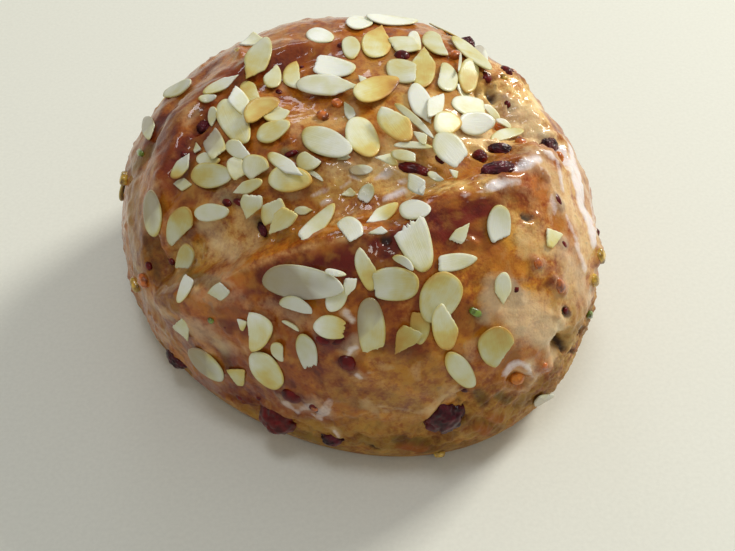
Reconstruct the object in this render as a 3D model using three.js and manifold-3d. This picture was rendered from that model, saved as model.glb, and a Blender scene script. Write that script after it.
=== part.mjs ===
// Easter bread: a round, domed loaf of sweet fruit dough, cut across the top before baking,
// glazed, and covered with flaked almonds, raisins and cranberries.
//
// Millimetres, +Z up. The origin is the middle of the flat foot, +X is to the right and +Y away
// from the side with the long lip of the cut.

import * as THREE from 'three';
import { mergeVertices } from 'three/addons/utils/BufferGeometryUtils.js';
import Module from 'manifold-3d';

const wasm = await Module();
wasm.setup();

// ---------------------------------------------------------------- driving sizes

const LOAF = {
  radius: 84, // at the waist
  height: 95.5,
  waist: 25, // height of the widest ring
  fullness: 2.55, // 2 is a round dome, more has fuller shoulders
  footTuck: 0.075, // how far the foot draws in under the waist, as a share of the radius
  footRound: 4, // rounding of the bottom edge
};

// Hand-shaped dough is never quite round: the share by which its radius swells in 2 and 3 waves.
const LOBES = [
  { waves: 2, cos: 0.009, sin: -0.054 },
  { waves: 3, cos: -0.019, sin: -0.012 },
];

const GRID = 42; // cells across the loaf's skin
const FUSE = { thickness: 2.3, proud: 1.35, shortest: 11 }; // almond flakes on the skin
const GAP = 0.35; // between a fruit and its pocket

// The view in which the places of flakes and fruit below were read, in pixels of a 735 x 551 frame.
const VIEW = {
  width: 735,
  height: 551,
  focal: 1000, // pixels
  elevation: THREE.MathUtils.degToRad(50.2),
  distance: 376,
  aim: new THREE.Vector3(2.9, -8.3, 15),
};

// ---------------------------------------------------------------- the bare dome

// The loaf's profile from the top, s = 0, down to the foot. s is the length along the skin.
function makeProfile() {
  const { radius, height, waist, fullness, footTuck, footRound } = LOAF;
  const points = [];
  for (let i = 0; i <= 200; i++) {
    const a = (i / 200) * (Math.PI / 2);
    const r = radius * Math.sin(a) ** (2 / fullness);
    const z = waist + (height - waist) * Math.max(Math.cos(a), 0) ** (2 / fullness);
    points.push({ r, z });
  }
  for (let i = 1; i <= 40; i++) {
    const z = waist * (1 - i / 40);
    const tuck = footTuck * ((waist - z) / waist) ** 2;
    const round = footRound - Math.sqrt(footRound ** 2 - Math.max(footRound - z, 0) ** 2);
    points.push({ r: radius * (1 - tuck) - 0.7 * round, z });
  }
  points[0].s = 0;
  for (let i = 1; i < points.length; i++) {
    const step = Math.hypot(points[i].r - points[i - 1].r, points[i].z - points[i - 1].z);
    points[i].s = points[i - 1].s + step;
  }
  return points;
}

const PROFILE = makeProfile();
const SKIN = PROFILE.at(-1).s; // from the top to the foot, along the skin

function onProfile(s) {
  const i = Math.min(PROFILE.findIndex((p) => p.s >= Math.min(s, SKIN - 1e-6)), PROFILE.length - 1);
  const [a, b] = [PROFILE[Math.max(i - 1, 0)], PROFILE[Math.max(i, 1)]];
  const t = THREE.MathUtils.clamp((s - a.s) / (b.s - a.s), 0, 1);
  return { r: a.r + (b.r - a.r) * t, z: a.z + (b.z - a.z) * t };
}

function lobe(angle) {
  return LOBES.reduce(
    (sum, l) => sum + l.cos * Math.cos(l.waves * angle) + l.sin * Math.sin(l.waves * angle),
    1,
  );
}

// The skin laid out flat: (u, v) is how far right and how far back a spot is from the top.
function bare(u, v) {
  const angle = Math.atan2(v, u);
  const { r, z } = onProfile(Math.hypot(u, v));
  return new THREE.Vector3(r * lobe(angle) * Math.cos(angle), r * lobe(angle) * Math.sin(angle), z);
}

function outward(u, v, e = 0.8) {
  const across = bare(u + e, v).sub(bare(u - e, v));
  const back = bare(u, v + e).sub(bare(u, v - e));
  return across.cross(back).normalize();
}

// ---------------------------------------------------------------- relief of the cut and the crust

// Each line runs over the skin as (u, v) in millimetres.
const LIP = [[-88, -52], [-78, -60], [-65, -63], [-44, -65], [-14, -58], [12, -51], [25, -37],
  [39, -30], [57, -13], [70, -3]];
const BAND = [[-82, -36], [-66, -25], [-58, -14], [-53, -3], [-42, 9], [-33, 17], [-18, 24],
  [0, 28]];
const SPLIT = [[-77, -34], [-80, -42], [-81, -50], [-78, -58]];
const FOLD = [[-84, -14], [-72, 0], [-60, 18], [-47, 30]];

const smooth = (lo, hi, x) => THREE.MathUtils.smoothstep(x, lo, hi);
const bell = (x, width) => Math.exp(-((x / width) ** 2));

// How far (u, v) lies to the left of a line, and how far along the line, from 0 to 1.
function beside(line, u, v) {
  let best = { far: Infinity };
  for (let i = 0; i + 1 < line.length; i++) {
    const [au, av] = line[i];
    const [du, dv] = [line[i + 1][0] - au, line[i + 1][1] - av];
    const t = THREE.MathUtils.clamp(((u - au) * du + (v - av) * dv) / (du * du + dv * dv), 0, 1);
    const [pu, pv] = [u - au - t * du, v - av - t * dv];
    const far = Math.hypot(pu, pv);
    if (far < best.far) {
      const left = du * pv - dv * pu > 0 ? far : -far;
      best = { far, left, along: (i + t) / (line.length - 1) };
    }
  }
  return best;
}

const ends = (along, share) => smooth(0, share, along) * smooth(0, share, 1 - along);

// The front flap stands up as a lip, and behind it the crumb lies open in a trough.
function cutRelief(u, v) {
  const { left, along } = beside(LIP, u, v);
  const front = left < 0 ? bell(left, 13) : 1 - smooth(-3, 8, left);
  const trough = smooth(0, 10, left) * (1 - smooth(13, 28, left));
  return (4.2 * front - 4.5 * trough) * ends(along, 0.12);
}

// The back-left flap: its skin stands over the crumb inside it, and is folded along its length.
function bandRelief(u, v) {
  const { left, along } = beside(BAND, u, v);
  const step = left > 0 ? bell(left, 12) * smooth(-1, 3, left) : 0;
  const under = bell(left + 4, 4);
  const fold = beside(FOLD, u, v);
  return (2.6 * step - 2.2 * under) * ends(along, 0.2) - 1.8 * bell(fold.far, 4) * ends(fold.along, 0.2);
}

function splitRelief(u, v) {
  const { far, along } = beside(SPLIT, u, v);
  return -5 * bell(far, 3.5) * ends(along, 0.25);
}

// A dent or bump with its middle at (u, v), turned, and fading out over its two half widths.
function spotRelief(u, v, spot) {
  const turn = THREE.MathUtils.degToRad(spot.turn ?? 0);
  const [du, dv] = [u - spot.u, v - spot.v];
  const along = du * Math.cos(turn) + dv * Math.sin(turn);
  const across = dv * Math.cos(turn) - du * Math.sin(turn);
  return spot.rise * bell(Math.hypot(along / spot.long, across / spot.wide), 1);
}

const SPOTS = [
  { u: 49, v: 6, long: 13, wide: 7, turn: -25, rise: -6.5 }, // torn hollow, right of the crown
  { u: 67, v: -6, long: 10, wide: 5, turn: 12, rise: -4.2 }, // where the cut runs out on the right
  { u: 77, v: -74, long: 6, wide: 4, rise: -3 }, // burst bubble, low on the right
  { u: 60, v: 26, long: 12, wide: 7, turn: 20, rise: 1.6 }, // the wall behind the hollow
  { u: -18, v: 4, long: 11, wide: 8, rise: -2 }, // bare crumb on the crown
  { u: 12, v: 26, long: 26, wide: 12, rise: -1.2 },
  { u: 92, v: -36, long: 9, wide: 12, rise: 1.4 }, // bulge of the right side
  { u: 46, v: 34, long: 12, wide: 9, rise: 1.8 },
  { u: -100, v: -12, long: 14, wide: 16, rise: -1.2 },
];

// Soft lumps of fruit and nuts under the skin.
function lumps(u, v) {
  const a = Math.sin(u / 11 + 1.3 * Math.sin(v / 17)) * Math.cos(v / 12 + 0.8 * Math.sin(u / 21));
  const b = Math.sin(u / 6.3 - v / 7.7 + 2) * Math.cos(v / 8.9 + u / 23);
  return 0.7 * a + 0.35 * b;
}

function relief(u, v) {
  const s = Math.hypot(u, v);
  const aboveFoot = 1 - smooth(SKIN - 22, SKIN - 6, s);
  const sum = cutRelief(u, v) + bandRelief(u, v) + splitRelief(u, v) + lumps(u, v)
    + SPOTS.reduce((total, spot) => total + spotRelief(u, v, spot), 0);
  return sum * aboveFoot;
}

function skin(u, v) {
  return bare(u, v).addScaledVector(outward(u, v), relief(u, v));
}

// ---------------------------------------------------------------- the loaf's body

// A square of cells is pulled onto the round skin, a little closer together on the crown.
function squareToSkin(a, b) {
  if (a === 0 && b === 0) return [0, 0];
  const wide = Math.abs(a) > Math.abs(b);
  const reach = wide ? a : b;
  const turn = wide ? (Math.PI / 4) * (b / a) : Math.PI / 2 - (Math.PI / 4) * (a / b);
  const s = SKIN * Math.sign(reach) * (0.8 * Math.abs(reach) + 0.2 * reach * reach);
  return [s * Math.cos(turn), s * Math.sin(turn)];
}

function loafGeometry() {
  const positions = [];
  const index = [];
  const at = (i, j) => j * (GRID + 1) + i;
  for (let j = 0; j <= GRID; j++) {
    for (let i = 0; i <= GRID; i++) {
      const onRim = i === 0 || j === 0 || i === GRID || j === GRID;
      const [u, v] = squareToSkin((2 * i) / GRID - 1, (2 * j) / GRID - 1);
      const p = onRim ? bare(u, v).setZ(0) : skin(u, v);
      positions.push(p.x, p.y, p.z);
    }
  }
  for (let j = 0; j < GRID; j++) {
    for (let i = 0; i < GRID; i++) {
      const [a, b, c, d] = [at(i, j), at(i + 1, j), at(i + 1, j + 1), at(i, j + 1)];
      const even = (i < GRID / 2) === (j < GRID / 2);
      index.push(...(even ? [a, b, c, a, c, d] : [a, b, d, b, c, d]));
    }
  }
  const foot = positions.length / 3;
  positions.push(0, 0, 0);
  for (let i = 0; i < GRID; i++) {
    index.push(at(i + 1, 0), at(i, 0), foot, at(i, GRID), at(i + 1, GRID), foot);
    index.push(at(0, i), at(0, i + 1), foot, at(GRID, i + 1), at(GRID, i), foot);
  }
  const geometry = new THREE.BufferGeometry();
  geometry.setAttribute('position', new THREE.Float32BufferAttribute(positions, 3));
  geometry.setIndex(index);
  return geometry;
}

// ---------------------------------------------------------------- from the view onto the skin

function look() {
  const { elevation, distance, aim } = VIEW;
  const back = new THREE.Vector3(0, -Math.cos(elevation), Math.sin(elevation));
  const right = new THREE.Vector3(1, 0, 0);
  return { eye: back.clone().multiplyScalar(distance).add(aim), back, right, up: back.clone().cross(right) };
}

const LOOK = look();
const BODY = loafGeometry();
const TARGET = new THREE.Mesh(BODY, new THREE.MeshStandardMaterial());
const CASTER = new THREE.Raycaster();

// The spot on the loaf that shows at a pixel. Past the outline it slides in towards the middle.
function seenAt(x, y) {
  for (let pull = 0; pull < 1; pull += 0.01) {
    const px = x + (365 - x) * pull;
    const py = y + (240 - y) * pull;
    const ray = LOOK.back.clone().negate()
      .addScaledVector(LOOK.right, (px - VIEW.width / 2) / VIEW.focal)
      .addScaledVector(LOOK.up, (VIEW.height / 2 - py) / VIEW.focal);
    CASTER.set(LOOK.eye, ray.normalize());
    const hit = CASTER.intersectObject(TARGET)[0];
    if (hit) return hit.point;
  }
  throw new Error('no loaf at ' + x + ', ' + y);
}

// The loaf's smooth outward direction at a point on it.
function outwardAt(point) {
  const angle = Math.atan2(point.y, point.x);
  const reach = Math.hypot(point.x, point.y) / lobe(angle);
  let best = { miss: Infinity };
  for (const p of PROFILE) {
    const miss = (p.r - reach) ** 2 + (p.z - point.z) ** 2;
    if (miss < best.miss) best = { miss, s: p.s };
  }
  const s = Math.max(best.s, 0.5);
  return outward(s * Math.cos(angle), s * Math.sin(angle));
}

// A place on the loaf read from the view: its long axis runs between two pixels, and it is `wide`
// pixels across. Gives the middle, the directions and the real length and width.
function placeOf([x1, y1, x2, y2, wide]) {
  const middle = seenAt((x1 + x2) / 2, (y1 + y2) / 2);
  const normal = outwardAt(middle);
  const [dx, dy] = [x2 - x1, y2 - y1];
  const pixels = Math.hypot(dx, dy);
  const perPixel = LOOK.eye.clone().sub(middle).dot(LOOK.back) / VIEW.focal;
  const flat = (px, py) => {
    const d = LOOK.right.clone().multiplyScalar(px).addScaledVector(LOOK.up, -py);
    // Slide along the line of sight until the step lies in the skin.
    const lean = THREE.MathUtils.clamp(-d.dot(normal) / Math.max(normal.dot(LOOK.back), 0.3), -1.4, 1.4);
    return d.addScaledVector(LOOK.back, lean);
  };
  const along = flat(dx / pixels, dy / pixels);
  const across = flat(-dy / pixels, dx / pixels);
  const length = pixels * perPixel * along.length();
  const width = wide * perPixel * across.length();
  along.addScaledVector(normal, -along.dot(normal)).normalize();
  return { middle, normal, along, side: normal.clone().cross(along), length, width };
}

function frameOf(place, lift) {
  const matrix = new THREE.Matrix4().makeBasis(place.along, place.side, place.normal);
  return matrix.setPosition(place.middle.clone().addScaledVector(place.normal, lift));
}

// ---------------------------------------------------------------- almond flakes

// Where each flake lies in the view: from x, y to x, y, and how wide. The lowest come first.
// A snapped one has its broken end second.
const FLAKES = {
  frontFlap: [
    [330, 311, 344, 283, 20], [352, 277, 346, 297, 13], [263, 278, 344, 288, 34],
    [361, 247, 371, 291, 18], [419, 284, 372, 284, 34, 'snapped'], [427, 271, 405, 222, 33, 'snapped'],
    [437, 265, 477, 258, 18], [454, 243, 470, 223, 14], [499, 205, 499, 243, 22, 'snapped'],
    [546, 229, 558, 244, 19], [503, 272, 503, 305, 17], [421, 312, 419, 344, 21],
    [395, 354, 415, 327, 23], [452, 274, 427, 322, 40], [443, 303, 447, 350, 26],
    [448, 353, 473, 388, 22], [493, 326, 500, 366, 34, 'snapped'], [368, 297, 374, 351, 28, 'snapped'],
    [314, 324, 346, 330, 23, 'snapped'], [302, 333, 311, 367, 18, 'snapped'], [280, 299, 313, 309, 14],
    [252, 353, 280, 388, 29], [259, 311, 262, 350, 25], [226, 371, 246, 380, 16],
    [189, 349, 223, 380, 25], [212, 297, 228, 286, 17], [190, 276, 179, 303, 12],
    [178, 320, 189, 340, 12],
  ],
  leftShoulder: [
    [150, 190, 155, 237, 18], [185, 207, 173, 247, 25], [194, 213, 229, 212, 18],
    [189, 243, 183, 268, 17, 'snapped'], [173, 179, 190, 154, 12], [191, 175, 232, 176, 26],
    [209, 132, 220, 158, 21], [222, 98, 246, 145, 28], [258, 155, 252, 180, 27],
    [233, 193, 262, 181, 13], [247, 219, 254, 194, 22, 'snapped'], [277, 218, 272, 200, 22, 'snapped'],
    [269, 234, 292, 210, 20, 'snapped'], [301, 242, 335, 205, 17], [268, 178, 312, 180, 27],
    [268, 154, 303, 176, 14], [296, 162, 321, 160, 19], [257, 138, 290, 123, 20],
    [243, 117, 277, 97, 19], [230, 89, 247, 111, 16, 'snapped'], [241, 85, 262, 101, 18],
    [203, 94, 239, 76, 10], [164, 97, 192, 81, 11], [246, 80, 268, 38, 23],
  ],
  crown: [
    [292, 88, 290, 61, 17], [296, 84, 359, 86, 20], [314, 65, 356, 69, 20, 'snapped'],
    [306, 33, 334, 38, 15], [351, 36, 351, 59, 19], [372, 58, 382, 25, 30],
    [388, 45, 421, 44, 15], [424, 34, 449, 54, 22], [422, 89, 424, 46, 26],
    [452, 91, 441, 63, 22], [469, 59, 468, 94, 21], [386, 68, 417, 74, 26],
    [354, 96, 399, 80, 22], [412, 84, 431, 124, 20], [437, 93, 434, 118, 16],
    [436, 124, 457, 120, 21], [452, 101, 488, 112, 19, 'snapped'], [458, 124, 494, 123, 24],
    [383, 106, 408, 142, 28], [437, 134, 462, 162, 26], [350, 120, 376, 156, 30],
    [301, 134, 352, 150, 27],
  ],
  openCrumb: [
    [371, 184, 362, 202, 14], [366, 224, 398, 205, 15], [399, 209, 431, 210, 19],
    [346, 217, 356, 240, 22, 'snapped'],
  ],
};

const LARGEST_FLAKE = { length: 25, width: 13.5 };

// A slice of almond: an egg with one end more pointed. A snapped one ends straight.
function flakeOutline(length, width, snapped) {
  const shape = new THREE.Shape();
  const points = [];
  const steps = 8;
  for (let i = 0; i < steps; i++) {
    const a = (i / steps) * 2 * Math.PI + 0.3;
    let x = Math.cos(a);
    let y = Math.sin(a) * (1 + 0.28 * x);
    if (snapped) {
      x = x < -0.62 ? -1 : Math.max(1.1 * x, -1);
      y *= 1.05;
    }
    points.push(new THREE.Vector2((-x * length) / 2, (-y * width) / 2));
  }
  shape.setFromPoints(points);
  return shape;
}

function flakeGeometry(row) {
  const place = placeOf(row);
  const length = Math.min(place.length, LARGEST_FLAKE.length);
  const width = Math.min(place.width, LARGEST_FLAKE.width);
  const shape = flakeOutline(length, width, row[5] === 'snapped');
  const geometry = new THREE.ExtrudeGeometry(shape, { depth: FUSE.thickness, bevelEnabled: false });
  return geometry.applyMatrix4(frameOf(place, FUSE.proud - FUSE.thickness));
}

// Round the back, out of the view, flakes go on at the same spacing along a sunflower spiral.
function backPlaces() {
  const places = [];
  for (let k = 1; k <= 64; k++) {
    const angle = k * 2.39996;
    const s = 15.2 * Math.sqrt(k);
    const [u, v] = [s * Math.cos(angle), s * Math.sin(angle)];
    const middle = skin(u, v);
    const normal = outward(u, v);
    const unseen = normal.dot(LOOK.eye.clone().sub(middle).normalize()) < -0.08;
    if (!unseen || s > 118) continue;
    const heading = 2.1 * k;
    const level = new THREE.Vector3(0, 0, 1).cross(normal).normalize();
    const along = level.multiplyScalar(Math.cos(heading))
      .addScaledVector(normal.clone().cross(level.clone().normalize()), Math.sin(heading)).normalize();
    const length = 15 + 5 * Math.sin(3.7 * k);
    places.push({
      middle, normal, along, side: normal.clone().cross(along), length, width: 0.58 * length,
    });
  }
  return places;
}

function backFlakeGeometry(place) {
  const shape = flakeOutline(place.length, place.width, false);
  const geometry = new THREE.ExtrudeGeometry(shape, { depth: FUSE.thickness, bevelEnabled: false });
  return geometry.applyMatrix4(frameOf(place, FUSE.proud - FUSE.thickness));
}

// ---------------------------------------------------------------- fruit and nuts

// Read like a flake. `tall` is the height as a share of the width, `sunk` how much of the half
// height is below the skin.
const FRUIT = {
  raisin_front: { at: [432, 431, 459, 405, 31], tall: 0.8, sunk: 0.3, kind: 'raisin' },
  cranberry_front_left: { at: [259, 416, 296, 430, 30], tall: 0.8, sunk: 0.25, kind: 'cranberry' },
  raisin_front_foot: { at: [321, 438, 343, 441, 13], tall: 0.9, sunk: 0.2, kind: 'raisin' },
  raisin_left_foot: { at: [166, 353, 182, 371, 17], tall: 0.9, sunk: -0.1, kind: 'raisin' },
  raisin_left_fold: { at: [198, 132, 208, 121, 13], tall: 0.9, sunk: 0.1, kind: 'raisin' },
  raisin_open_crumb: { at: [259, 222, 265, 236, 9], tall: 0.9, sunk: 0.3, kind: 'raisin' },
  cranberry_middle: { at: [397, 165, 431, 173, 13], tall: 0.8, sunk: 0.2, kind: 'cranberry' },
  cranberry_right: { at: [473, 153, 487, 160, 12], tall: 0.8, sunk: 0.1, kind: 'cranberry' },
  raisin_right_front: { at: [481, 172, 516, 168, 15], tall: 0.8, sunk: 0.15, kind: 'raisin' },
  raisin_right_back: { at: [491, 147, 516, 152, 12], tall: 0.8, sunk: 0.15, kind: 'raisin' },
  raisin_right_edge: { at: [541, 145, 559, 144, 11], tall: 1, sunk: 0.1, kind: 'raisin' },
  nut_right_edge: { at: [554, 152, 562, 163, 13], tall: 0.8, sunk: 0.5, kind: 'nut' },
  raisin_back: { at: [461, 43, 474, 44, 12], tall: 1, sunk: 0.1, kind: 'raisin' },
  nut_front_right: { at: [512, 377, 524, 381, 13], tall: 0.9, sunk: 0.3, kind: 'nut' },
};

const FRUIT_COLOUR = { raisin: 0x2a0d14, cranberry: 0x4d0c12, nut: 0xa2541c };
const LARGEST_FRUIT = 15;

function fruitPlace(fruit) {
  const place = placeOf(fruit.at);
  const long = Math.min(place.length, LARGEST_FRUIT) / 2;
  const wide = Math.min(place.width, LARGEST_FRUIT, 2.2 * long) / 2;
  const tall = wide * fruit.tall;
  return { place, half: new THREE.Vector3(long, wide, tall), lift: -fruit.sunk * tall };
}

// A plump or shrivelled ball; `grow` is added to each half size for the pocket that holds it.
function fruitGeometry(fruit, grow) {
  const { place, half, lift } = fruitPlace(fruit);
  const ball = new THREE.IcosahedronGeometry(1, 1);
  const position = ball.attributes.position;
  const p = new THREE.Vector3();
  for (let i = 0; i < position.count; i++) {
    p.fromBufferAttribute(position, i);
    const shrivel = fruit.kind === 'raisin' ? 0.07 * Math.sin(5 * Math.atan2(p.z, p.y) + 2 * p.x) : 0;
    p.multiplyScalar(1 + shrivel).multiply(half);
    p.addScaledVector(p.clone().normalize(), grow);
    position.setXYZ(i, p.x, p.y, p.z);
  }
  return ball.applyMatrix4(frameOf(place, lift));
}

// ---------------------------------------------------------------- joining and cutting

function toSolid(geometry) {
  const bareGeometry = geometry.clone();
  bareGeometry.deleteAttribute('normal');
  bareGeometry.deleteAttribute('uv');
  const merged = mergeVertices(bareGeometry, 1e-4);
  return new wasm.Manifold(new wasm.Mesh({
    numProp: 3,
    vertProperties: merged.attributes.position.array,
    triVerts: new Uint32Array(merged.index.array),
  }));
}

function toGeometry(solid) {
  const mesh = solid.getMesh();
  const geometry = new THREE.BufferGeometry();
  geometry.setAttribute('position', new THREE.BufferAttribute(mesh.vertProperties, 3));
  geometry.setIndex(new THREE.BufferAttribute(mesh.triVerts, 1));
  geometry.computeVertexNormals();
  return geometry;
}

// A flake that would reach into a fruit is left off.
function clearOfFruit(place) {
  return Object.values(FRUIT).every((fruit) => {
    const { place: other, half } = fruitPlace(fruit);
    const reach = Math.max(half.x, half.y) + 0.5;
    return [-0.5, -0.25, 0, 0.25, 0.5].every((t) => {
      const spot = place.middle.clone().addScaledVector(place.along, t * place.length);
      return spot.distanceTo(other.middle) > reach + 0.3 * place.width;
    });
  });
}

function loafSolid() {
  let solid = toSolid(BODY);
  let fused = 0;
  for (const row of Object.values(FLAKES).flat()) {
    const place = placeOf(row);
    if (place.length < FUSE.shortest && place.width < FUSE.shortest) continue;
    if (!clearOfFruit(place)) continue;
    solid = solid.add(toSolid(flakeGeometry(row)));
    fused += 1;
  }
  for (const place of backPlaces()) {
    solid = solid.add(toSolid(backFlakeGeometry(place)));
    fused += 1;
  }
  for (const fruit of Object.values(FRUIT)) {
    solid = solid.subtract(toSolid(fruitGeometry(fruit, GAP)));
  }
  console.log('flakes fused:', fused);
  return solid;
}

function named(name, geometry, colour, roughness) {
  const material = new THREE.MeshStandardMaterial({ color: colour, roughness, metalness: 0 });
  const mesh = new THREE.Mesh(geometry, material);
  mesh.name = name;
  return mesh;
}

const bread = new THREE.Group();
bread.add(named('loaf', toGeometry(loafSolid()), 0x9a5a2a, 0.35));
for (const [name, fruit] of Object.entries(FRUIT)) {
  bread.add(named(name, fruitGeometry(fruit, 0), FRUIT_COLOUR[fruit.kind], 0.3));
}

export default bread;
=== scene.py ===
# %% [markdown]
# # Easter bread
#
# A round loaf of sweet, fruity dough. The baker shapes a tight ball, lets it rise, slashes it
# across the top and bakes it. Still warm, it is brushed with sugar glaze, and flaked almonds are
# scattered over the glaze while it is sticky.
#
# The CAD model already fixes the loaf's size, its cut and the place of each piece of fruit. This
# script dresses it: a fine skin with pores and folds, a glaze that runs, drips and is milky in
# places, each almond flake as a thin slice of its own, wrinkled raisins, bits of candied peel, and
# the light.

import math
import random

import bmesh
import bpy
import numpy as np
from mathutils import Matrix, Vector, noise
from mathutils.bvhtree import BVHTree


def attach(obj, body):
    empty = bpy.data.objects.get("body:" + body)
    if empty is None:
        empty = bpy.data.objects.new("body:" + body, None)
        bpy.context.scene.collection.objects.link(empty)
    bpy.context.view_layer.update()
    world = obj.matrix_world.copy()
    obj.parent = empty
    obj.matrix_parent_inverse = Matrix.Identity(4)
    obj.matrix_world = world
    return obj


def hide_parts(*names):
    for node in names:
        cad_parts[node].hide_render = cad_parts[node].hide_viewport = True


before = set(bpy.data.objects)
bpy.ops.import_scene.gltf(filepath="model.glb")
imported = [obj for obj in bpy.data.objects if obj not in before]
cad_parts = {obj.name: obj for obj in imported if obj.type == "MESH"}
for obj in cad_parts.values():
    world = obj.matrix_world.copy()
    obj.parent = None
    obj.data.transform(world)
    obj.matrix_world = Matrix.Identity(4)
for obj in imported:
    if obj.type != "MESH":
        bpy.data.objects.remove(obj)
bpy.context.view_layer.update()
print("solids in the frame:", len(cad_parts))

# %% [markdown]
# ## Units and colours
#
# Food is measured in millimetres, and Blender works in metres, so every mesh here is shaped in
# millimetres and made smaller once, when it becomes an object. Colours are written as the hex
# values a painter would pick on a screen. Shaders mix light, which is linear, so one function
# turns the one into the other.

# %% Units and colours
MM = 0.001


def paint(hex_colour):
    """A hex colour as the linear red, green, blue and alpha that a shader takes."""
    channels = [int(hex_colour[i:i + 2], 16) / 255 for i in (1, 3, 5)]
    linear = [c / 12.92 if c <= 0.04045 else ((c + 0.055) / 1.055) ** 2.4 for c in channels]
    return (*linear, 1.0)


print("baked brown is", [round(c, 3) for c in paint("#a3631f")])

# %% [markdown]
# ## The camera
#
# The loaf is seen from in front and well above, as by someone standing at the table. A lens is
# easiest to match by its focal length in pixels: that number, over the width of the picture and
# times the width of the sensor, is the lens in millimetres.

# %% The camera
VIEW = {"width": 735, "height": 551, "focal": 1000.0}  # pixels
ELEVATION = math.radians(50.2)
DISTANCE = 376.0
AIM = Vector((2.9, -8.3, 15.0))

back = Vector((0, -math.cos(ELEVATION), math.sin(ELEVATION)))
right = Vector((1, 0, 0))
up = back.cross(right)
eye = AIM + back * DISTANCE

camera = bpy.data.objects.new("camera", bpy.data.cameras.new("camera"))
camera.data.sensor_width = 36
camera.data.lens = VIEW["focal"] / VIEW["width"] * camera.data.sensor_width
camera.data.clip_start = 0.01
camera.location = eye * MM
camera.rotation_euler = (math.pi / 2 - ELEVATION, 0, 0)
bpy.context.scene.collection.objects.link(camera)
bpy.context.scene.camera = camera
print("lens", round(camera.data.lens, 1), "mm, eye at", [round(c) for c in eye], "mm")

# %% [markdown]
# ## The bare dome
#
# A ball of dough that rises on a tray keeps a flat foot, bulges low down and has full shoulders.
# A superellipse has exactly that profile: with a power of 2 it is a round dome, with more its
# shoulders fill out. Slow waves in the radius take away the look of a lathe.
#
# Every spot on the skin gets two coordinates, `u` to the right and `v` to the back, as if the
# skin was peeled off the top and laid flat. NumPy works out thousands of spots at once.

# %% The bare dome
LOAF = {"radius": 84.0, "height": 95.5, "waist": 25.0, "fullness": 2.55}
FOOT = {"tuck": 0.075, "round": 4.0}
LOBES = ({"waves": 2, "cos": 0.009, "sin": -0.054}, {"waves": 3, "cos": -0.019, "sin": -0.012})


def loaf_profile():
    """Radius, height and length along the skin, from the top of the loaf down to its foot."""
    a = np.linspace(0, math.pi / 2, 201)
    power = 2 / LOAF["fullness"]
    rise = LOAF["height"] - LOAF["waist"]
    r = LOAF["radius"] * np.sin(a) ** power
    z = LOAF["waist"] + rise * np.cos(a).clip(0) ** power
    low = LOAF["waist"] * (1 - np.arange(1, 41) / 40)
    tuck = FOOT["tuck"] * ((LOAF["waist"] - low) / LOAF["waist"]) ** 2
    edge = FOOT["round"] - np.sqrt(FOOT["round"] ** 2 - (FOOT["round"] - low).clip(0) ** 2)
    r = np.concatenate([r, LOAF["radius"] * (1 - tuck) - 0.7 * edge])
    z = np.concatenate([z, low])
    s = np.concatenate([[0], np.cumsum(np.hypot(np.diff(r), np.diff(z)))])
    return r, z, s


PROFILE_R, PROFILE_Z, PROFILE_S = loaf_profile()
SKIN = PROFILE_S[-1]


def swell(angle):
    """How much wider than its mean radius the loaf is in each direction."""
    waves = [w["cos"] * np.cos(w["waves"] * angle) + w["sin"] * np.sin(w["waves"] * angle) for w in LOBES]
    return 1 + sum(waves)


def bare(u, v):
    """The point of the smooth dome at each (u, v)."""
    angle, s = np.arctan2(v, u), np.hypot(u, v)
    reach = np.interp(s, PROFILE_S, PROFILE_R) * swell(angle)
    height = np.interp(s, PROFILE_S, PROFILE_Z)
    return np.stack([reach * np.cos(angle), reach * np.sin(angle), height], axis=-1)


def outward(u, v, step=0.8):
    """The direction straight out of the dome at each (u, v)."""
    across = bare(u + step, v) - bare(u - step, v)
    away = bare(u, v + step) - bare(u, v - step)
    normal = np.cross(across, away)
    return normal / np.linalg.norm(normal, axis=-1, keepdims=True)


print("from the top to the foot along the skin:", round(SKIN), "mm")

# %% [markdown]
# ## The cut and the folds
#
# A slash opens in the oven. The flap in front lifts and browns as a lip, the crumb behind it lies
# open in a trough, and the skin on the far side stands over it as a second, lower edge. Each is a
# line over the skin, and the relief is a function of how far a spot lies to the left or right of
# that line. Two small helpers do most of the work: a smooth step and a bell.

# %% The cut and the folds
LIP = ((-88, -52), (-78, -60), (-65, -63), (-44, -65), (-14, -58), (12, -51), (25, -37), (39, -30),
       (57, -13), (70, -3))
BAND = ((-82, -36), (-66, -25), (-58, -14), (-53, -3), (-42, 9), (-33, 17), (-18, 24), (0, 28))
SPLIT = ((-77, -34), (-80, -42), (-81, -50), (-78, -58))
FOLD = ((-84, -14), (-72, 0), (-60, 18), (-47, 30))
LIP_HEIGHT, TROUGH_DEPTH = 4.2, 4.5
BAND_HEIGHT, UNDERCUT = 2.6, 2.2
FOLD_DEPTH, SPLIT_DEPTH = 1.8, 5.0


def smooth(low, high, x):
    """0 below `low`, 1 above `high`, and an easy slope in between."""
    t = np.clip((x - low) / (high - low), 0, 1)
    return t * t * (3 - 2 * t)


def bell(x, width):
    """1 where x is 0, and a soft fall to nothing about twice the width away."""
    return np.exp(-((x / width) ** 2))


def beside(line, u, v):
    """How far each spot is from a line, how far to its left, and how far along it, from 0 to 1."""
    far, left, along = np.full(u.shape, np.inf), np.zeros(u.shape), np.zeros(u.shape)
    for i, ((au, av), (bu, bv)) in enumerate(zip(line, line[1:])):
        du, dv = bu - au, bv - av
        t = np.clip(((u - au) * du + (v - av) * dv) / (du * du + dv * dv), 0, 1)
        pu, pv = u - au - t * du, v - av - t * dv
        gap = np.hypot(pu, pv)
        nearer = gap < far
        far = np.where(nearer, gap, far)
        left = np.where(nearer, np.where(du * pv - dv * pu > 0, gap, -gap), left)
        along = np.where(nearer, (i + t) / (len(line) - 1), along)
    return far, left, along


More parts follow.
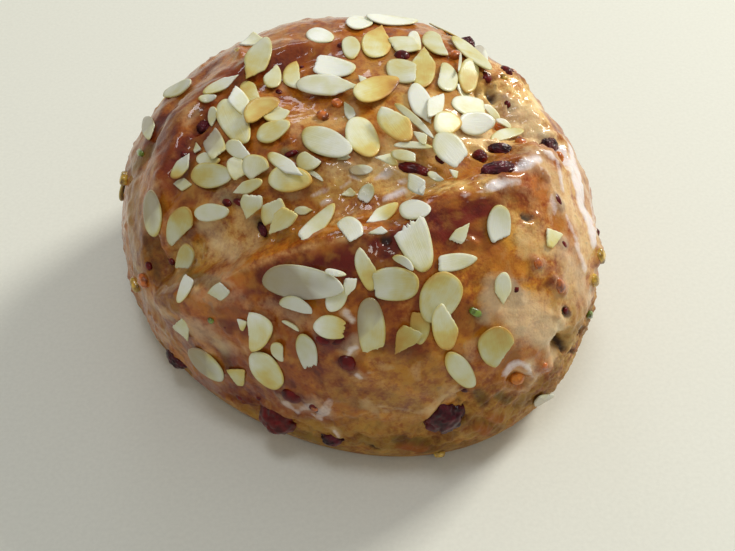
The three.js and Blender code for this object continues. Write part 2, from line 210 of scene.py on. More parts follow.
def ends(along, share):
    """Fades a line's relief out over a share of its length at either end."""
    return smooth(0, share, along) * smooth(0, share, 1 - along)


def cut_relief(u, v):
    """The lip in front of the cut and the trough behind it."""
    _, left, along = beside(LIP, u, v)
    lip = np.where(left < 0, bell(left, 13), 1 - smooth(-2.5, 6.5, left))
    trough = smooth(0, 9, left) * (1 - smooth(13, 28, left))
    return (LIP_HEIGHT * lip - TROUGH_DEPTH * trough) * ends(along, 0.12)


def band_relief(u, v):
    """The edge on the far side of the cut, with the fold that runs into it."""
    _, left, along = beside(BAND, u, v)
    step = np.where(left > 0, bell(left, 12) * smooth(-1, 3, left), 0)
    under = bell(left + 4, 4)
    fold_far, _, fold_along = beside(FOLD, u, v)
    fold = FOLD_DEPTH * bell(fold_far, 4) * ends(fold_along, 0.2)
    return (BAND_HEIGHT * step - UNDERCUT * under) * ends(along, 0.2) - fold


def split_relief(u, v):
    """The narrow split where the cut reaches the left side."""
    far, _, along = beside(SPLIT, u, v)
    return -SPLIT_DEPTH * bell(far, 3.5) * ends(along, 0.25)


print("the lip is", round(sum(math.dist(a, b) for a, b in zip(LIP, LIP[1:]))), "mm long")

# %% [markdown]
# ## Dents, bulges and lumps
#
# Single features, such as the torn hollow at the right of the crown, are soft ovals that rise or
# sink. Under all of it two slow wave patterns stand for the fruit inside, which keeps the
# skin from ever being quite smooth.

# %% Dents, bulges and lumps
SPOTS = (
    {"u": 49, "v": 6, "long": 13, "wide": 7, "turn": -25, "rise": -6.5},  # torn hollow
    {"u": 67, "v": -6, "long": 10, "wide": 5, "turn": 12, "rise": -4.2},  # the cut runs out
    {"u": 77, "v": -74, "long": 6, "wide": 4, "turn": 0, "rise": -3.0},  # burst bubble
    {"u": 60, "v": 26, "long": 12, "wide": 7, "turn": 20, "rise": 1.6},  # wall of the hollow
    {"u": -18, "v": 4, "long": 11, "wide": 8, "turn": 0, "rise": -2.0},  # bare crumb
    {"u": 12, "v": 26, "long": 26, "wide": 12, "turn": 0, "rise": -1.2},
    {"u": 92, "v": -36, "long": 9, "wide": 12, "turn": 0, "rise": 1.4},  # bulge on the right
    {"u": 46, "v": 34, "long": 12, "wide": 9, "turn": 0, "rise": 1.8},
    {"u": -100, "v": -12, "long": 14, "wide": 16, "turn": 0, "rise": -1.2},
)


def spot_relief(u, v, spot):
    """One soft oval, turned by its own angle."""
    turn = math.radians(spot["turn"])
    du, dv = u - spot["u"], v - spot["v"]
    along = du * math.cos(turn) + dv * math.sin(turn)
    across = dv * math.cos(turn) - du * math.sin(turn)
    return spot["rise"] * bell(np.hypot(along / spot["long"], across / spot["wide"]), 1)


def lumps(u, v):
    """Slow waves, bent by one another so that no two lumps are alike."""
    large = np.sin(u / 11 + 1.3 * np.sin(v / 17)) * np.cos(v / 12 + 0.8 * np.sin(u / 21))
    small = np.sin(u / 6.3 - v / 7.7 + 2) * np.cos(v / 8.9 + u / 23)
    return 0.7 * large + 0.35 * small


def above_foot(u, v):
    """1 on the loaf, easing to 0 where it meets the table, so that the foot stays level."""
    return 1 - smooth(SKIN - 22, SKIN - 6, np.hypot(u, v))


def relief(u, v):
    """How far each spot stands out of the smooth dome, in millimetres."""
    total = cut_relief(u, v) + band_relief(u, v) + split_relief(u, v) + lumps(u, v)
    total = total + sum(spot_relief(u, v, spot) for spot in SPOTS)
    return total * above_foot(u, v)


print("depth of the torn hollow:", round(float(-relief(np.array([49.0]), np.array([6.0]))[0]), 1), "mm")

# %% [markdown]
# ## A sheet of dough
#
# The skin starts as a flat square grid, made by one operator. A square pulled onto a disc and the
# disc pulled down over the dome gives small, even cells everywhere and no pole at the top, which a
# ball made of rings and segments would have. A Moebius map then slides the cells of the disc a little
# towards the front, where the most is to be seen, and leaves its rim a circle. At about one
# millimetre a cell, pores and wrinkles can be real geometry.

# %% A sheet of dough
CELLS = 300
FORWARD = 0.14  # how far the middle cell slides to the front, as a share of the skin's reach


def square_to_skin(a, b):
    """Where each spot of the square, from -1 to 1 both ways, comes to lie on the skin."""
    wide = np.abs(a) > np.abs(b)
    reach = np.where(wide, a, b)
    safe_a, safe_b = np.where(a == 0, 1e-9, a), np.where(b == 0, 1e-9, b)
    turn = np.where(wide, math.pi / 4 * b / safe_a, math.pi / 2 - math.pi / 4 * a / safe_b)
    s = np.sign(reach) * (0.8 * np.abs(reach) + 0.2 * reach * reach)
    on_disc = s * np.exp(1j * turn)
    slid = SKIN * (on_disc - 1j * FORWARD) / (1 + 1j * FORWARD * on_disc)
    return slid.real, slid.imag


sheet = bmesh.new()
bmesh.ops.create_grid(sheet, x_segments=CELLS, y_segments=CELLS, size=1.0)
sheet.verts.ensure_lookup_table()
flat = np.array([vert.co for vert in sheet.verts])
U, V = square_to_skin(flat[:, 0], flat[:, 1])
OUT = outward(U, V)
smooth_skin = bare(U, V) + OUT * relief(U, V)[:, None]
for vert, spot in zip(sheet.verts, smooth_skin):
    vert.co = spot
skin_tree = BVHTree.FromBMesh(sheet)
print("spots on the skin:", len(U), "about", round(2 * SKIN / CELLS, 2), "mm apart")

# %% [markdown]
# ## Reading places from the view
#
# Flakes lie where they fell, and no rule places them: they are read in the camera's view, as a
# long axis between two pixels and a width. A ray through a pixel finds the skin. There the flake is
# laid into the skin's own plane, so it gets its true length even where the loaf turns away, and it
# is right from any side.

# %% Reading places from the view
VIEW_MIDDLE = (365, 240)  # the loaf's middle in the view
LEAST_FACING, MOST_LEAN = 0.3, 1.4  # limits for skin that is seen nearly edge on


def seen_at(x, y):
    """The spot of the skin that shows at a pixel; past the outline it slides in to the loaf."""
    for pull in np.arange(0, 1, 0.01):
        px = x + (VIEW_MIDDLE[0] - x) * pull
        py = y + (VIEW_MIDDLE[1] - y) * pull
        ray = right * (px - VIEW["width"] / 2) + up * (VIEW["height"] / 2 - py) - back * VIEW["focal"]
        hit = skin_tree.ray_cast(eye, ray.normalized())[0]
        if hit:
            return hit
    raise ValueError(f"no loaf at {x}, {y}")


def around_and_down(point):
    """The angle round the loaf and the length down its skin of a point on it."""
    angle = math.atan2(point.y, point.x)
    reach = math.hypot(point.x, point.y) / float(swell(angle))
    nearest = np.argmin((PROFILE_R - reach) ** 2 + (PROFILE_Z - point.z) ** 2)
    return angle, float(PROFILE_S[nearest])


def outward_at(point):
    """The dome's smooth outward direction at a point on it."""
    angle, s = around_and_down(point)
    s = max(s, 0.5)
    return Vector(outward(np.array([s * math.cos(angle)]), np.array([s * math.sin(angle)]))[0])


def place_of(row):
    """Middle, directions, real length and width of what was read as x, y to x, y and how wide."""
    x1, y1, x2, y2, wide = row[:5]
    middle = seen_at((x1 + x2) / 2, (y1 + y2) / 2)
    normal = outward_at(middle)
    pixels = math.hypot(x2 - x1, y2 - y1)
    per_pixel = (eye - middle).dot(back) / VIEW["focal"]

    def in_the_skin(px, py):
        """A step of one pixel in the view, laid into the plane of the skin."""
        step = right * px - up * py
        lean = -step.dot(normal) / max(normal.dot(back), LEAST_FACING)
        return step + back * max(-MOST_LEAN, min(MOST_LEAN, lean))

    along = in_the_skin((x2 - x1) / pixels, (y2 - y1) / pixels)
    across = in_the_skin(-(y2 - y1) / pixels, (x2 - x1) / pixels)
    length, width = pixels * per_pixel * along.length, wide * per_pixel * across.length
    along = (along - normal * along.dot(normal)).normalized()
    return {"middle": middle, "normal": normal, "along": along, "side": normal.cross(along),
            "length": length, "width": width}


def basis(place, lift=0.0):
    """The matrix that carries a piece from the origin to its place on the loaf."""
    columns = (place["along"], place["side"], place["normal"], place["middle"] + place["normal"] * lift)
    return Matrix.Translation(columns[3]) @ Matrix(columns[:3]).transposed().to_4x4()


pixel = (eye - seen_at(*VIEW_MIDDLE)).dot(back) / VIEW["focal"]
print("a pixel in the middle is", round(pixel, 2), "mm")

# %% [markdown]
# ## Noise over the skin
#
# Nothing on a loaf has a clean edge or an even tone. Fractal noise adds coarse and fine blotches
# together, as dough does. It is worked out once for every spot of the skin, so the same noise can
# shape an edge, a colour and the relief.

# %% Noise over the skin
points_on_skin = [Vector(spot) for spot in smooth_skin]


def grain(size, octaves=3, shift=0.0):
    """Cloudy noise over the skin, from about -1 to 1, with blotches of about this size in mm."""
    offset = Vector((shift, -shift, 2 * shift))
    return np.array([noise.fractal(spot / size + offset, 1.0, 2.0, octaves) for spot in points_on_skin])


RAGGED = grain(7.0, 4, 3.1)
BLOTCHES = grain(16.0, 4, 9.4)
print("the ragged noise reaches from", round(RAGGED.min(), 2), "to", round(RAGGED.max(), 2))

# %% [markdown]
# ## How far down the glaze ran
#
# The glaze is brushed over the top and runs down until it sets. Below that line the crust is dry,
# rough and straw coloured. The line is read in the view at a few spots. Round the back, where
# nothing can be read, it keeps a mean height. Between the spots it is interpolated over the angle
# round the loaf, and noise makes it ragged.

# %% How far down the glaze ran
GLAZE_LINE = ((134, 300), (158, 342), (205, 390), (250, 398), (287, 415), (322, 418), (352, 412), (400, 416),
              (436, 410), (458, 394), (484, 384), (522, 390), (545, 362), (552, 328), (576, 318), (592, 290))
BACK_GLAZE = 122.0  # millimetres from the top, along the skin
PAST_THE_LINE = 0.5  # radians from the last spot that was read to the mean height of the back
EDGE_RAGGED, EDGE_WANDERS = 3.5, 6.0  # how far fine and coarse noise move the edge, in millimetres
EDGE_FADES = (-6.0, 8.0)  # from full glaze to dry crust, in millimetres

line = sorted(around_and_down(seen_at(x, y)) for x, y in GLAZE_LINE)
back_angles = [line[-1][0] + PAST_THE_LINE, math.pi, line[0][0] - PAST_THE_LINE + 2 * math.pi]
line += [(angle, BACK_GLAZE) for angle in back_angles if angle > line[-1][0]]
angles, reaches = zip(*sorted(line))
glaze_reach = np.interp(np.arctan2(V, U), angles, reaches, period=2 * math.pi)
below_glaze = np.hypot(U, V) - glaze_reach + EDGE_RAGGED * RAGGED + EDGE_WANDERS * BLOTCHES
glazed = 1 - smooth(*EDGE_FADES, below_glaze)
glaze_rim = bell(below_glaze + 1.2, 1.4)
print("glaze covers", round(100 * float(glazed.mean())), "% of the skin")

# %% [markdown]
# ## Painting the crust
#
# A baker's eye reads a crust as patches: mahogany where the skin stood proud, straw where it tore
# open, milky where the glaze set thick. Each patch is a few strokes of a brush, read in the view
# like the flakes. A stroke is a fat line over the skin, its edge made ragged by noise, so that the
# mask it leaves looks torn and not drawn. Colours go on one over the other into one colour
# attribute, as they would with real paint, and the finish reads it.

# %% Brushes
def stroke_distance(row):
    """How far each spot of the skin is from the middle line of a stroke, and half its width.

    Skin that is seen at a slant looks narrower than it is, so a stroke on it is made wider.
    """
    x1, y1, x2, y2, wide = row[:5]
    path = [seen_at(x1 + (x2 - x1) * t, y1 + (y2 - y1) * t) for t in (0, 0.5, 1)]
    normal = outward_at(path[1])
    per_pixel = (eye - path[1]).dot(back) / VIEW["focal"]
    slant = max(normal.dot(back), 0.35) ** -0.5
    nearest = np.full(len(U), np.inf)
    for a, b in zip(path, path[1:]):
        start, way = np.array(a), np.array(b - a)
        t = np.clip((smooth_skin - start) @ way / max(way @ way, 1e-9), 0, 1)
        nearest = np.minimum(nearest, np.linalg.norm(smooth_skin - start - t[:, None] * way, axis=1))
    return nearest, wide / 2 * per_pixel * slant


def brushed(rows, edge=1.5, ragged=2.0):
    """The mask that a few strokes leave on the skin. A row may end with the stroke's strength."""
    mask = np.zeros(len(U))
    for row in rows:
        far, half = stroke_distance(row)
        strength = row[5] if len(row) > 5 else 1.0
        mask = np.maximum(mask, strength * (1 - smooth(half - edge, half + edge, far + ragged * RAGGED)))
    return mask


middle_stroke = (355, 240, 375, 240, 10)
print("10 pixels in the middle are", round(2 * stroke_distance(middle_stroke)[1], 1), "mm of skin")

# %% [markdown]
# ## Colours of the crust
#
# Every colour is a tuple of strokes, and a later colour covers an earlier one: first the broad ones
# of the bake, then, over soft clouds of tan and umber that no crust is without, the open dough and
# the fine marks. Some strokes paint light and shade: the pale line on the lip's crest is a painted
# highlight, the salmon strokes are partly a painted sheen, the broad cream strokes on the right
# flank and in the trough are partly painted highlights, the dark crack strokes are painted shadow,
# and a few chestnut and mahogany strokes low on the front are painted shade. Round the back, where
# nothing can be read, noise browns a plain straw crust.

# %% Colours of the crust
STROKES = {
    "ochre": (
        (505, 225, 540, 240, 40), (480, 285, 560, 300, 56), (390, 365, 450, 392, 60, 0.8),
        (525, 255, 565, 300, 44), (430, 330, 470, 340, 30, 0.7), (340, 398, 400, 405, 34, 0.7),
        (470, 312, 500, 330, 30), (150, 290, 200, 350, 24, 0.5), (300, 108, 345, 112, 20, 0.5),
    ),
    # chestnut and mahogany are a deeper bake; the mahogany stroke at 218, 345 and the chestnut strokes along
    # the front foot are also painted shade
    "chestnut": (
        (285, 58, 345, 52, 34, 0.6), (235, 75, 262, 58, 20, 0.8), (160, 130, 190, 185, 40, 1.0),
        (280, 318, 330, 372, 44, 0.8), (225, 300, 262, 335, 26, 0.7), (395, 345, 420, 350, 22),
        (455, 243, 495, 252, 26, 0.8), (500, 262, 520, 300, 16, 0.6), (395, 300, 470, 320, 40, 0.7),
        (205, 385, 262, 402, 24, 0.9), (150, 210, 166, 150, 18, 0.7), (265, 345, 300, 390, 24, 0.7),
        (345, 330, 395, 345, 24, 0.7), (555, 190, 560, 205, 8, 0.7), (520, 150, 536, 156, 12, 0.8),
        (185, 100, 250, 60, 26, 0.8), (350, 50, 430, 56, 20, 0.7), (215, 335, 262, 385, 34, 0.8),
        (165, 95, 215, 62, 22, 0.7), (300, 390, 350, 408, 20, 0.5), (272, 400, 330, 420, 26, 0.8),
        (176, 330, 215, 375, 34, 0.6), (225, 392, 290, 412, 26, 0.6), (380, 320, 410, 300, 24, 0.6),
        (470, 255, 500, 300, 18, 0.4), (245, 128, 262, 122, 14, 0.7), (286, 100, 300, 104, 12, 0.5),
        (216, 268, 300, 238, 10, 0.4),
    ),
    "mahogany": (
        (238, 300, 275, 276, 20, 0.9), (272, 276, 335, 264, 30), (334, 264, 396, 246, 32),
        (395, 246, 440, 228, 32), (438, 222, 498, 202, 34), (452, 236, 484, 232, 20, 0.8),
        (175, 162, 190, 142, 16, 0.8), (190, 142, 215, 120, 20, 0.9), (250, 70, 300, 52, 22, 0.6),
        (310, 56, 352, 48, 14, 0.5), (150, 150, 172, 120, 16, 0.6), (168, 116, 184, 142, 18, 0.75),
        (218, 345, 240, 378, 20, 0.6), (282, 100, 346, 118, 10, 0.4), (240, 74, 268, 60, 14, 0.7),
        (322, 113, 326, 117, 8, 0.8), (336, 103, 341, 106, 7, 0.8), (345, 92, 352, 98, 8, 0.6),
        (385, 54, 410, 58, 12, 0.7), (505, 192, 520, 196, 10, 0.5), (235, 325, 242, 332, 9, 0.8),
        (500, 60, 508, 72, 8, 0.6), (478, 74, 484, 86, 8, 0.7), (205, 112, 232, 92, 12, 0.6),
        (250, 392, 290, 384, 10, 0.5), (318, 338, 346, 344, 16, 0.8), (290, 34, 330, 28, 6, 0.4),
        (262, 150, 284, 164, 8, 0.5), (500, 176, 520, 172, 10, 0.5),
    ),
    # salmon is partly the crust's rosy tone and partly painted sheen: the thin strokes along the lip and the
    # patch at 240, 306
    "salmon and sheen": (
        (196, 286, 235, 284, 24, 0.7), (240, 306, 268, 318, 24, 0.4), (150, 232, 160, 150, 8, 0.4),
        (522, 176, 548, 190, 22, 0.6), (268, 262, 330, 246, 5, 0.6), (420, 206, 470, 192, 5, 0.6),
        (180, 300, 240, 345, 22, 0.3), (560, 200, 590, 250, 20, 0.5),
    ),
    "straw": (
        (230, 404, 300, 428, 20, 0.5), (300, 424, 420, 442, 26, 0.6), (340, 384, 425, 402, 40, 0.5),
        (400, 408, 430, 430, 24, 0.5), (470, 400, 520, 420, 26, 0.5), (145, 300, 175, 345, 16, 0.5),
        (400, 60, 470, 130, 70, 0.65), (300, 104, 345, 112, 16, 0.3), (244, 256, 300, 228, 24, 0.8),
        (300, 228, 350, 204, 22, 0.6), (300, 226, 400, 196, 24, 0.45), (200, 172, 330, 190, 50, 0.35),
        (410, 186, 480, 184, 14, 0.5), (180, 250, 190, 300, 14, 0.4), (340, 178, 440, 172, 40, 0.6),
        (335, 206, 420, 196, 26, 0.6), (560, 310, 590, 380, 24, 0.9), (540, 402, 596, 352, 32, 0.8),
        (505, 210, 540, 250, 30, 0.4), (130, 215, 140, 280, 14, 0.4),
    ),
    "crumb": (
        (185, 262, 236, 240, 34), (205, 216, 252, 226, 24), (330, 192, 398, 186, 40),
        (282, 108, 345, 108, 18, 0.3), (410, 190, 482, 182, 22), (498, 72, 535, 128, 26),
        (478, 92, 520, 124, 26), (515, 212, 536, 238, 18, 0.7), (440, 150, 500, 140, 20, 0.7),
        (480, 132, 545, 138, 18), (395, 150, 440, 154, 20, 0.6), (360, 80, 450, 130, 40, 0.5),
    ),
    # cream is open crumb; the three broad strokes in the trough and the one from 556, 155 to 590, 240 are
    # also painted highlights
    "cream": (
        (494, 66, 530, 98, 24), (520, 100, 543, 140, 24), (482, 104, 512, 124, 18),
        (500, 128, 545, 141, 14), (418, 158, 470, 148, 8, 0.7), (425, 190, 462, 182, 12, 0.85),
        (470, 132, 500, 140, 9, 0.8), (384, 110, 392, 138, 8, 0.6), (560, 320, 578, 370, 12, 0.4),
        (506, 210, 540, 236, 14, 0.4), (188, 262, 230, 240, 14, 0.3), (512, 100, 543, 138, 36, 0.8),
        (498, 130, 552, 150, 28, 0.75), (436, 137, 500, 142, 32, 0.85), (420, 102, 444, 134, 26, 0.75),
        (345, 214, 400, 198, 26, 0.55), (392, 194, 440, 184, 26, 0.6), (356, 178, 404, 170, 30, 0.45),
        (556, 155, 590, 240, 38, 0.55), (300, 118, 345, 122, 20, 0.4), (545, 168, 560, 200, 14, 0.4),
        (584, 248, 596, 300, 12, 0.4), (505, 146, 545, 150, 10, 0.4), (520, 236, 550, 250, 14, 0.3),
    ),
    # painted highlight: a pale line along the lip's crest, where it catches the light
    "lip crest highlight": (
        (196, 288, 240, 271, 4), (240, 271, 268, 260, 3.5), (268, 260, 300, 249, 3), (300, 249, 350, 237, 3),
    ),
    "amber": (
        (245, 258, 300, 236, 22, 0.5), (300, 228, 345, 206, 20, 0.5), (400, 190, 430, 186, 10, 0.4),
        (290, 106, 350, 110, 22, 0.4), (512, 206, 530, 214, 10, 0.6), (305, 200, 318, 210, 8),
        (335, 205, 400, 200, 14, 0.7), (512, 136, 526, 134, 7), (492, 124, 508, 130, 7),
        (130, 276, 150, 290, 16, 0.7), (546, 362, 548, 372, 8), (532, 258, 540, 266, 7),
        (552, 280, 564, 290, 8), (480, 250, 520, 272, 24, 0.5), (550, 210, 572, 236, 18, 0.5),
        (515, 378, 520, 384, 8), (360, 310, 366, 340, 8, 0.6), (264, 336, 272, 346, 8, 0.6),
        (402, 300, 410, 330, 10, 0.6), (470, 340, 480, 352, 10, 0.5),
    ),
    "olive": (
        (184, 276, 216, 282, 14, 0.8), (284, 150, 300, 158, 10), (216, 192, 246, 202, 10, 0.8),
        (136, 166, 150, 150, 12, 0.8), (130, 240, 142, 292, 14, 0.5), (470, 310, 482, 316, 9, 0.8),
        (590, 314, 597, 318, 6), (476, 392, 486, 404, 10), (498, 396, 508, 402, 8),
        (400, 440, 430, 450, 16), (390, 362, 450, 384, 40, 0.3), (350, 396, 410, 406, 26, 0.35),
        (148, 236, 168, 300, 26, 0.5), (134, 165, 138, 262, 24, 0.45), (560, 340, 590, 330, 16, 0.3),
        (520, 402, 560, 392, 14, 0.4), (360, 440, 470, 446, 20, 0.5), (536, 132, 544, 140, 6),
        (286, 430, 330, 446, 14, 0.6), (470, 420, 500, 430, 14, 0.5), (240, 172, 262, 176, 8, 0.6),
        (340, 160, 350, 170, 8, 0.5),
    ),
    # painted shadow: dark strokes in the split on the left, in cracks and round some bits of berry
    "crack shadow": (
        (146, 240, 151, 256, 4, 0.6), (153, 260, 161, 284, 4, 0.6), (224, 352, 230, 370, 8, 0.5),
        (190, 118, 206, 108, 5, 0.7), (222, 199, 240, 204, 4, 0.6), (284, 158, 298, 152, 5, 0.7),
        (258, 220, 262, 230, 6, 0.6), (168, 259, 173, 264, 5, 0.8), (180, 151, 184, 156, 5, 0.7),
    ),
}
TINTS = {"glazed": "#b97926", "dry": "#a8884a", "ochre": "#d29c34", "chestnut": "#8b4211",
         "mahogany": "#701804", "salmon and sheen": "#c87c46", "crumb": "#d8b66c", "cream": "#fbe8b4",
         "lip crest highlight": "#f0cb9a", "amber": "#bc7c26", "olive": "#7a6426", "crack shadow": "#321404",
         "tan": "#c79a4a", "umber": "#6c3b13", "straw": "#b8934c"}
BROAD_BRUSH, FINE_BRUSH = (2.4, 3.4), (1.0, 1.0)  # how soft and how ragged the edge is, in millimetres
FINE_MARKS = ("lip crest highlight", "amber", "olive", "crack shadow")
LAST_OF_THE_BAKE = "salmon and sheen"
MARBLING = {"tan": grain(5.5, 4, 5.5), "umber": grain(4.2, 4, 8.1)}
MARBLED = 0.42  # how strongly these clouds cover the bake


def tint(name):
    """The linear red, green and blue of a tint."""
    return np.array(paint(TINTS[name])[:3])


def covered(colours, cover, over):
    """The colours of the skin once another colour is laid over them, by 0 to 1 at each spot."""
    return colours + cover[:, None] * (over - colours)


unseen = smooth(0.1, -0.25, OUT @ np.array(back))
colour_of_skin = covered(tint("dry"), glazed, tint("glazed"))
back_colour = covered(tint("straw"), smooth(-0.6, 0.9, BLOTCHES), tint("chestnut"))
colour_of_skin = covered(colour_of_skin, unseen * glazed, back_colour)
for name, rows in STROKES.items():
    brush = FINE_BRUSH if name in FINE_MARKS else BROAD_BRUSH
    colour_of_skin = covered(colour_of_skin, brushed(rows, *brush), tint(name))
    if name == LAST_OF_THE_BAKE:
        for cloud_name, cloud in MARBLING.items():
            cover = MARBLED * smooth(0.05, 0.5, cloud)
            colour_of_skin = covered(colour_of_skin, cover, tint(cloud_name))
print(sum(len(rows) for rows in STROKES.values()), "strokes in", len(STROKES), "colours")

# %% [markdown]
# ## Glaze, from a film to a drip
#
# Sugar glaze is clear while it is thin or wet, and white where it has dried thick. So it shows in five
# ways: a milky film, thin streaks, thick white runs with a soft edge, drips with a hard edge, and
# pools in the trough that stay clear and wet. The streaks are painted highlights where the glaze
# catches the window, and the film, the white runs and a few of the drips also hold painted
# highlights and glints. Each is a mask of its own, brushed like the colours, because each gets its
# own height, colour and gloss. Noise spreads a faint film over the rest, but leaves the darkest
# crust clear.

# %% Glaze, from a film to a drip
# milky glaze film, and painted highlights: some strokes on the right flank and the front flap stand for the
# window's reflection
MILKY_AND_HIGHLIGHTS = (  # a film, thin and soft at its edge
    (206, 228, 232, 258, 24, 0.65), (240, 216, 256, 236, 16, 0.4), (340, 164, 395, 170, 26, 0.4),
    (148, 296, 166, 312, 14, 0.6), (190, 325, 222, 342, 24, 0.55), (246, 304, 270, 318, 20, 0.4),
    (285, 402, 305, 408, 11, 0.5), (316, 402, 330, 412, 11, 0.5), (349, 354, 356, 345, 6, 0.9),
    (500, 300, 550, 330, 44, 0.8), (540, 236, 580, 262, 30, 0.4), (576, 150, 592, 205, 15, 0.5),
    (590, 205, 600, 246, 12, 0.5), (480, 250, 520, 296, 30, 0.1), (540, 160, 585, 236, 34, 0.45),
    (520, 180, 545, 236, 24, 0.25), (560, 252, 588, 300, 24, 0.65), (545, 334, 560, 326, 9, 0.6),
    (154, 152, 158, 230, 5, 0.5), (390, 360, 470, 384, 40, 0.12), (330, 372, 380, 390, 30, 0.1),
    (540, 330, 556, 360, 20, 0.5), (140, 200, 150, 300, 18, 0.15), (270, 305, 310, 325, 24, 0.35),
    (395, 150, 440, 150, 14, 0.4), (512, 114, 546, 144, 28, 0.75), (495, 118, 530, 136, 24, 0.6),
    (450, 136, 500, 142, 22, 0.6), (430, 408, 456, 392, 6, 0.7), (500, 184, 512, 182, 8, 0.6),
    (526, 166, 540, 164, 9, 0.7), (196, 292, 230, 296, 12, 0.4), (334, 430, 341, 438, 7, 0.8),
    (360, 372, 364, 376, 6, 0.6), (484, 300, 500, 318, 12, 0.5), (355, 378, 380, 384, 10, 0.3),
    (526, 364, 532, 374, 5), (532, 374, 527, 386, 5),
)
# painted highlights: thin milky strokes where the glaze catches the window, on the lip, the flanks and the
# front
HIGHLIGHT_STREAKS = (  # runs of glaze that catch the window
    (566, 168, 574, 215, 5, 0.7), (549, 205, 552, 226, 4, 0.6), (518, 279, 522, 292, 4, 0.6),
    (536, 322, 541, 336, 5, 0.7), (272, 160, 292, 168, 3, 0.5), (545, 250, 575, 262, 8, 0.5),
    (160, 112, 190, 86, 6, 0.5), (151, 230, 154, 160, 3, 0.5), (164, 300, 168, 240, 3, 0.4),
    (366, 370, 374, 372, 3, 0.7), (386, 410, 394, 411, 3, 0.6), (344, 312, 352, 320, 5, 0.7),
    (380, 405, 420, 412, 4, 0.5), (420, 412, 455, 386, 4, 0.5),
)
# thick white runs on the right flank, and painted highlights and glints on the lip, in the trough and on the
# front flap
THICK_RUNS_AND_GLINTS = (  # thick white glaze, with a soft edge
    (570, 150, 581, 198, 10), (581, 198, 592, 240, 9), (594, 180, 600, 232, 4, 0.8),
    (512, 169, 538, 160, 7), (540, 170, 547, 192, 4), (487, 188, 516, 181, 7),
    (462, 197, 481, 191, 4, 0.9), (556, 162, 562, 190, 4, 0.9), (566, 218, 575, 238, 4, 0.8),
    (312, 196, 330, 190, 4), (341, 188, 350, 183, 4), (384, 201, 403, 192, 6), (352, 212, 371, 206, 4.5),
    (375, 180, 389, 174, 5), (358, 219, 369, 214, 5.5), (393, 169, 400, 175, 2), (401, 183, 406, 181, 3),
    (346, 312, 352, 320, 3, 0.7), (366, 370, 373, 372, 3, 0.7), (322, 203, 332, 199, 2.5),
    (347, 177, 360, 181, 2), (560, 152, 572, 176, 12), (572, 176, 592, 238, 15),
    (548, 186, 556, 220, 4, 0.7), (575, 245, 584, 268, 6, 0.7), (544, 152, 552, 158, 7, 0.9),
    (300, 238, 306, 234, 2.5, 0.8), (404, 168, 418, 164, 3, 0.7), (455, 205, 484, 198, 4, 0.6),
    (380, 262, 392, 258, 3, 0.5),
)
# drips of thick glaze; the three short strokes from 349, 354 to 362, 377 are painted glints
DRIPS = (  # thick white glaze, with a hard edge
    (286, 403, 298, 411, 7, 0.75), (298, 411, 312, 404, 6, 0.7), (312, 414, 322, 419, 6, 0.75),
    (320, 416, 327, 409, 8, 0.75), (327, 410, 331, 400, 6, 0.6), (349, 354, 352, 348, 4),
    (352, 348, 357, 347, 3), (358, 374, 362, 377, 4), (335, 432, 340, 436, 6), (504, 374, 508, 366, 5),
    (508, 366, 517, 361, 5), (517, 361, 527, 366, 5), (527, 366, 531, 376, 4),
)
POOLED = ((332, 176, 400, 172, 30), (330, 205, 402, 196, 22), (400, 158, 440, 182, 16, 0.6))

dark_crust = brushed(STROKES["mahogany"], *BROAD_BRUSH)
dark_crust = np.maximum(dark_crust, 0.7 * brushed(STROKES["chestnut"], *BROAD_BRUSH))
dried_film = 0.35 * smooth(0.05, 0.6, grain(12.0, 3, 2.2)) * glazed * (1 - dark_crust)
milky = np.maximum.reduce([brushed(MILKY_AND_HIGHLIGHTS, edge=4.2, ragged=3.0), 0.2 * glaze_rim, dried_film])
milky = np.maximum(milky, brushed(HIGHLIGHT_STREAKS, edge=1.3, ragged=1.0))
thick_runs_and_glints = brushed(THICK_RUNS_AND_GLINTS, edge=1.6, ragged=1.4)
# drips, white runs and their painted highlights and glints, in one mask
drip = np.maximum(0.78 * brushed(DRIPS, edge=1.2, ragged=1.4), 0.95 * thick_runs_and_glints)
pooled = brushed(POOLED, edge=1.5, ragged=3.0)
print("thick glaze on", round(100 * float((drip > 0.5).mean()), 1), "% of the skin")

# %% [markdown]
# ## Open crumb and small marks
#
# In the trough and in the torn hollow the skin is gone, and the crumb shows dull and full of holes.
# Elsewhere small things lie just under the skin: fruit shines through in dark stains, chopped nuts
# lift it, and bubbles have burst. Those that can be seen are brushed one by one. Many smaller lumps
# go all over the loaf by chance, and a random generator with a fixed seed puts them in the same
# places every time.

# %% Open crumb and small marks
OPEN_CRUMB = (  # where the skin is torn away
    (184, 264, 236, 240, 34), (252, 256, 305, 234, 24), (305, 230, 352, 204, 26),
    (404, 190, 482, 182, 20), (280, 108, 345, 108, 24, 0.7), (478, 92, 520, 124, 28),
    (500, 72, 535, 128, 20, 0.8), (515, 212, 536, 238, 18, 0.8), (554, 338, 566, 352, 14),
    (480, 132, 545, 138, 14, 0.7), (284, 148, 300, 160, 12), (520, 100, 545, 140, 18),
)
HOLLOW = ((484, 92, 520, 80, 26), (512, 90, 532, 124, 26), (488, 112, 520, 124, 18))
BERRY_STAINS = (  # fruit shining through the skin
    (555, 196, 559, 206, 9), (559, 242, 566, 246, 8), (512, 284, 519, 292, 11), (224, 322, 230, 330, 9),
    (236, 394, 252, 400, 7), (282, 394, 300, 396, 12), (310, 400, 316, 410, 8), (462, 388, 468, 391, 7),
    (341, 360, 352, 368, 10), (318, 338, 344, 345, 9), (244, 401, 250, 404, 6),
    (548, 282, 552, 276, 4), (505, 100, 509, 105, 4), (565, 308, 568, 314, 5), (330, 56, 340, 60, 5),
)
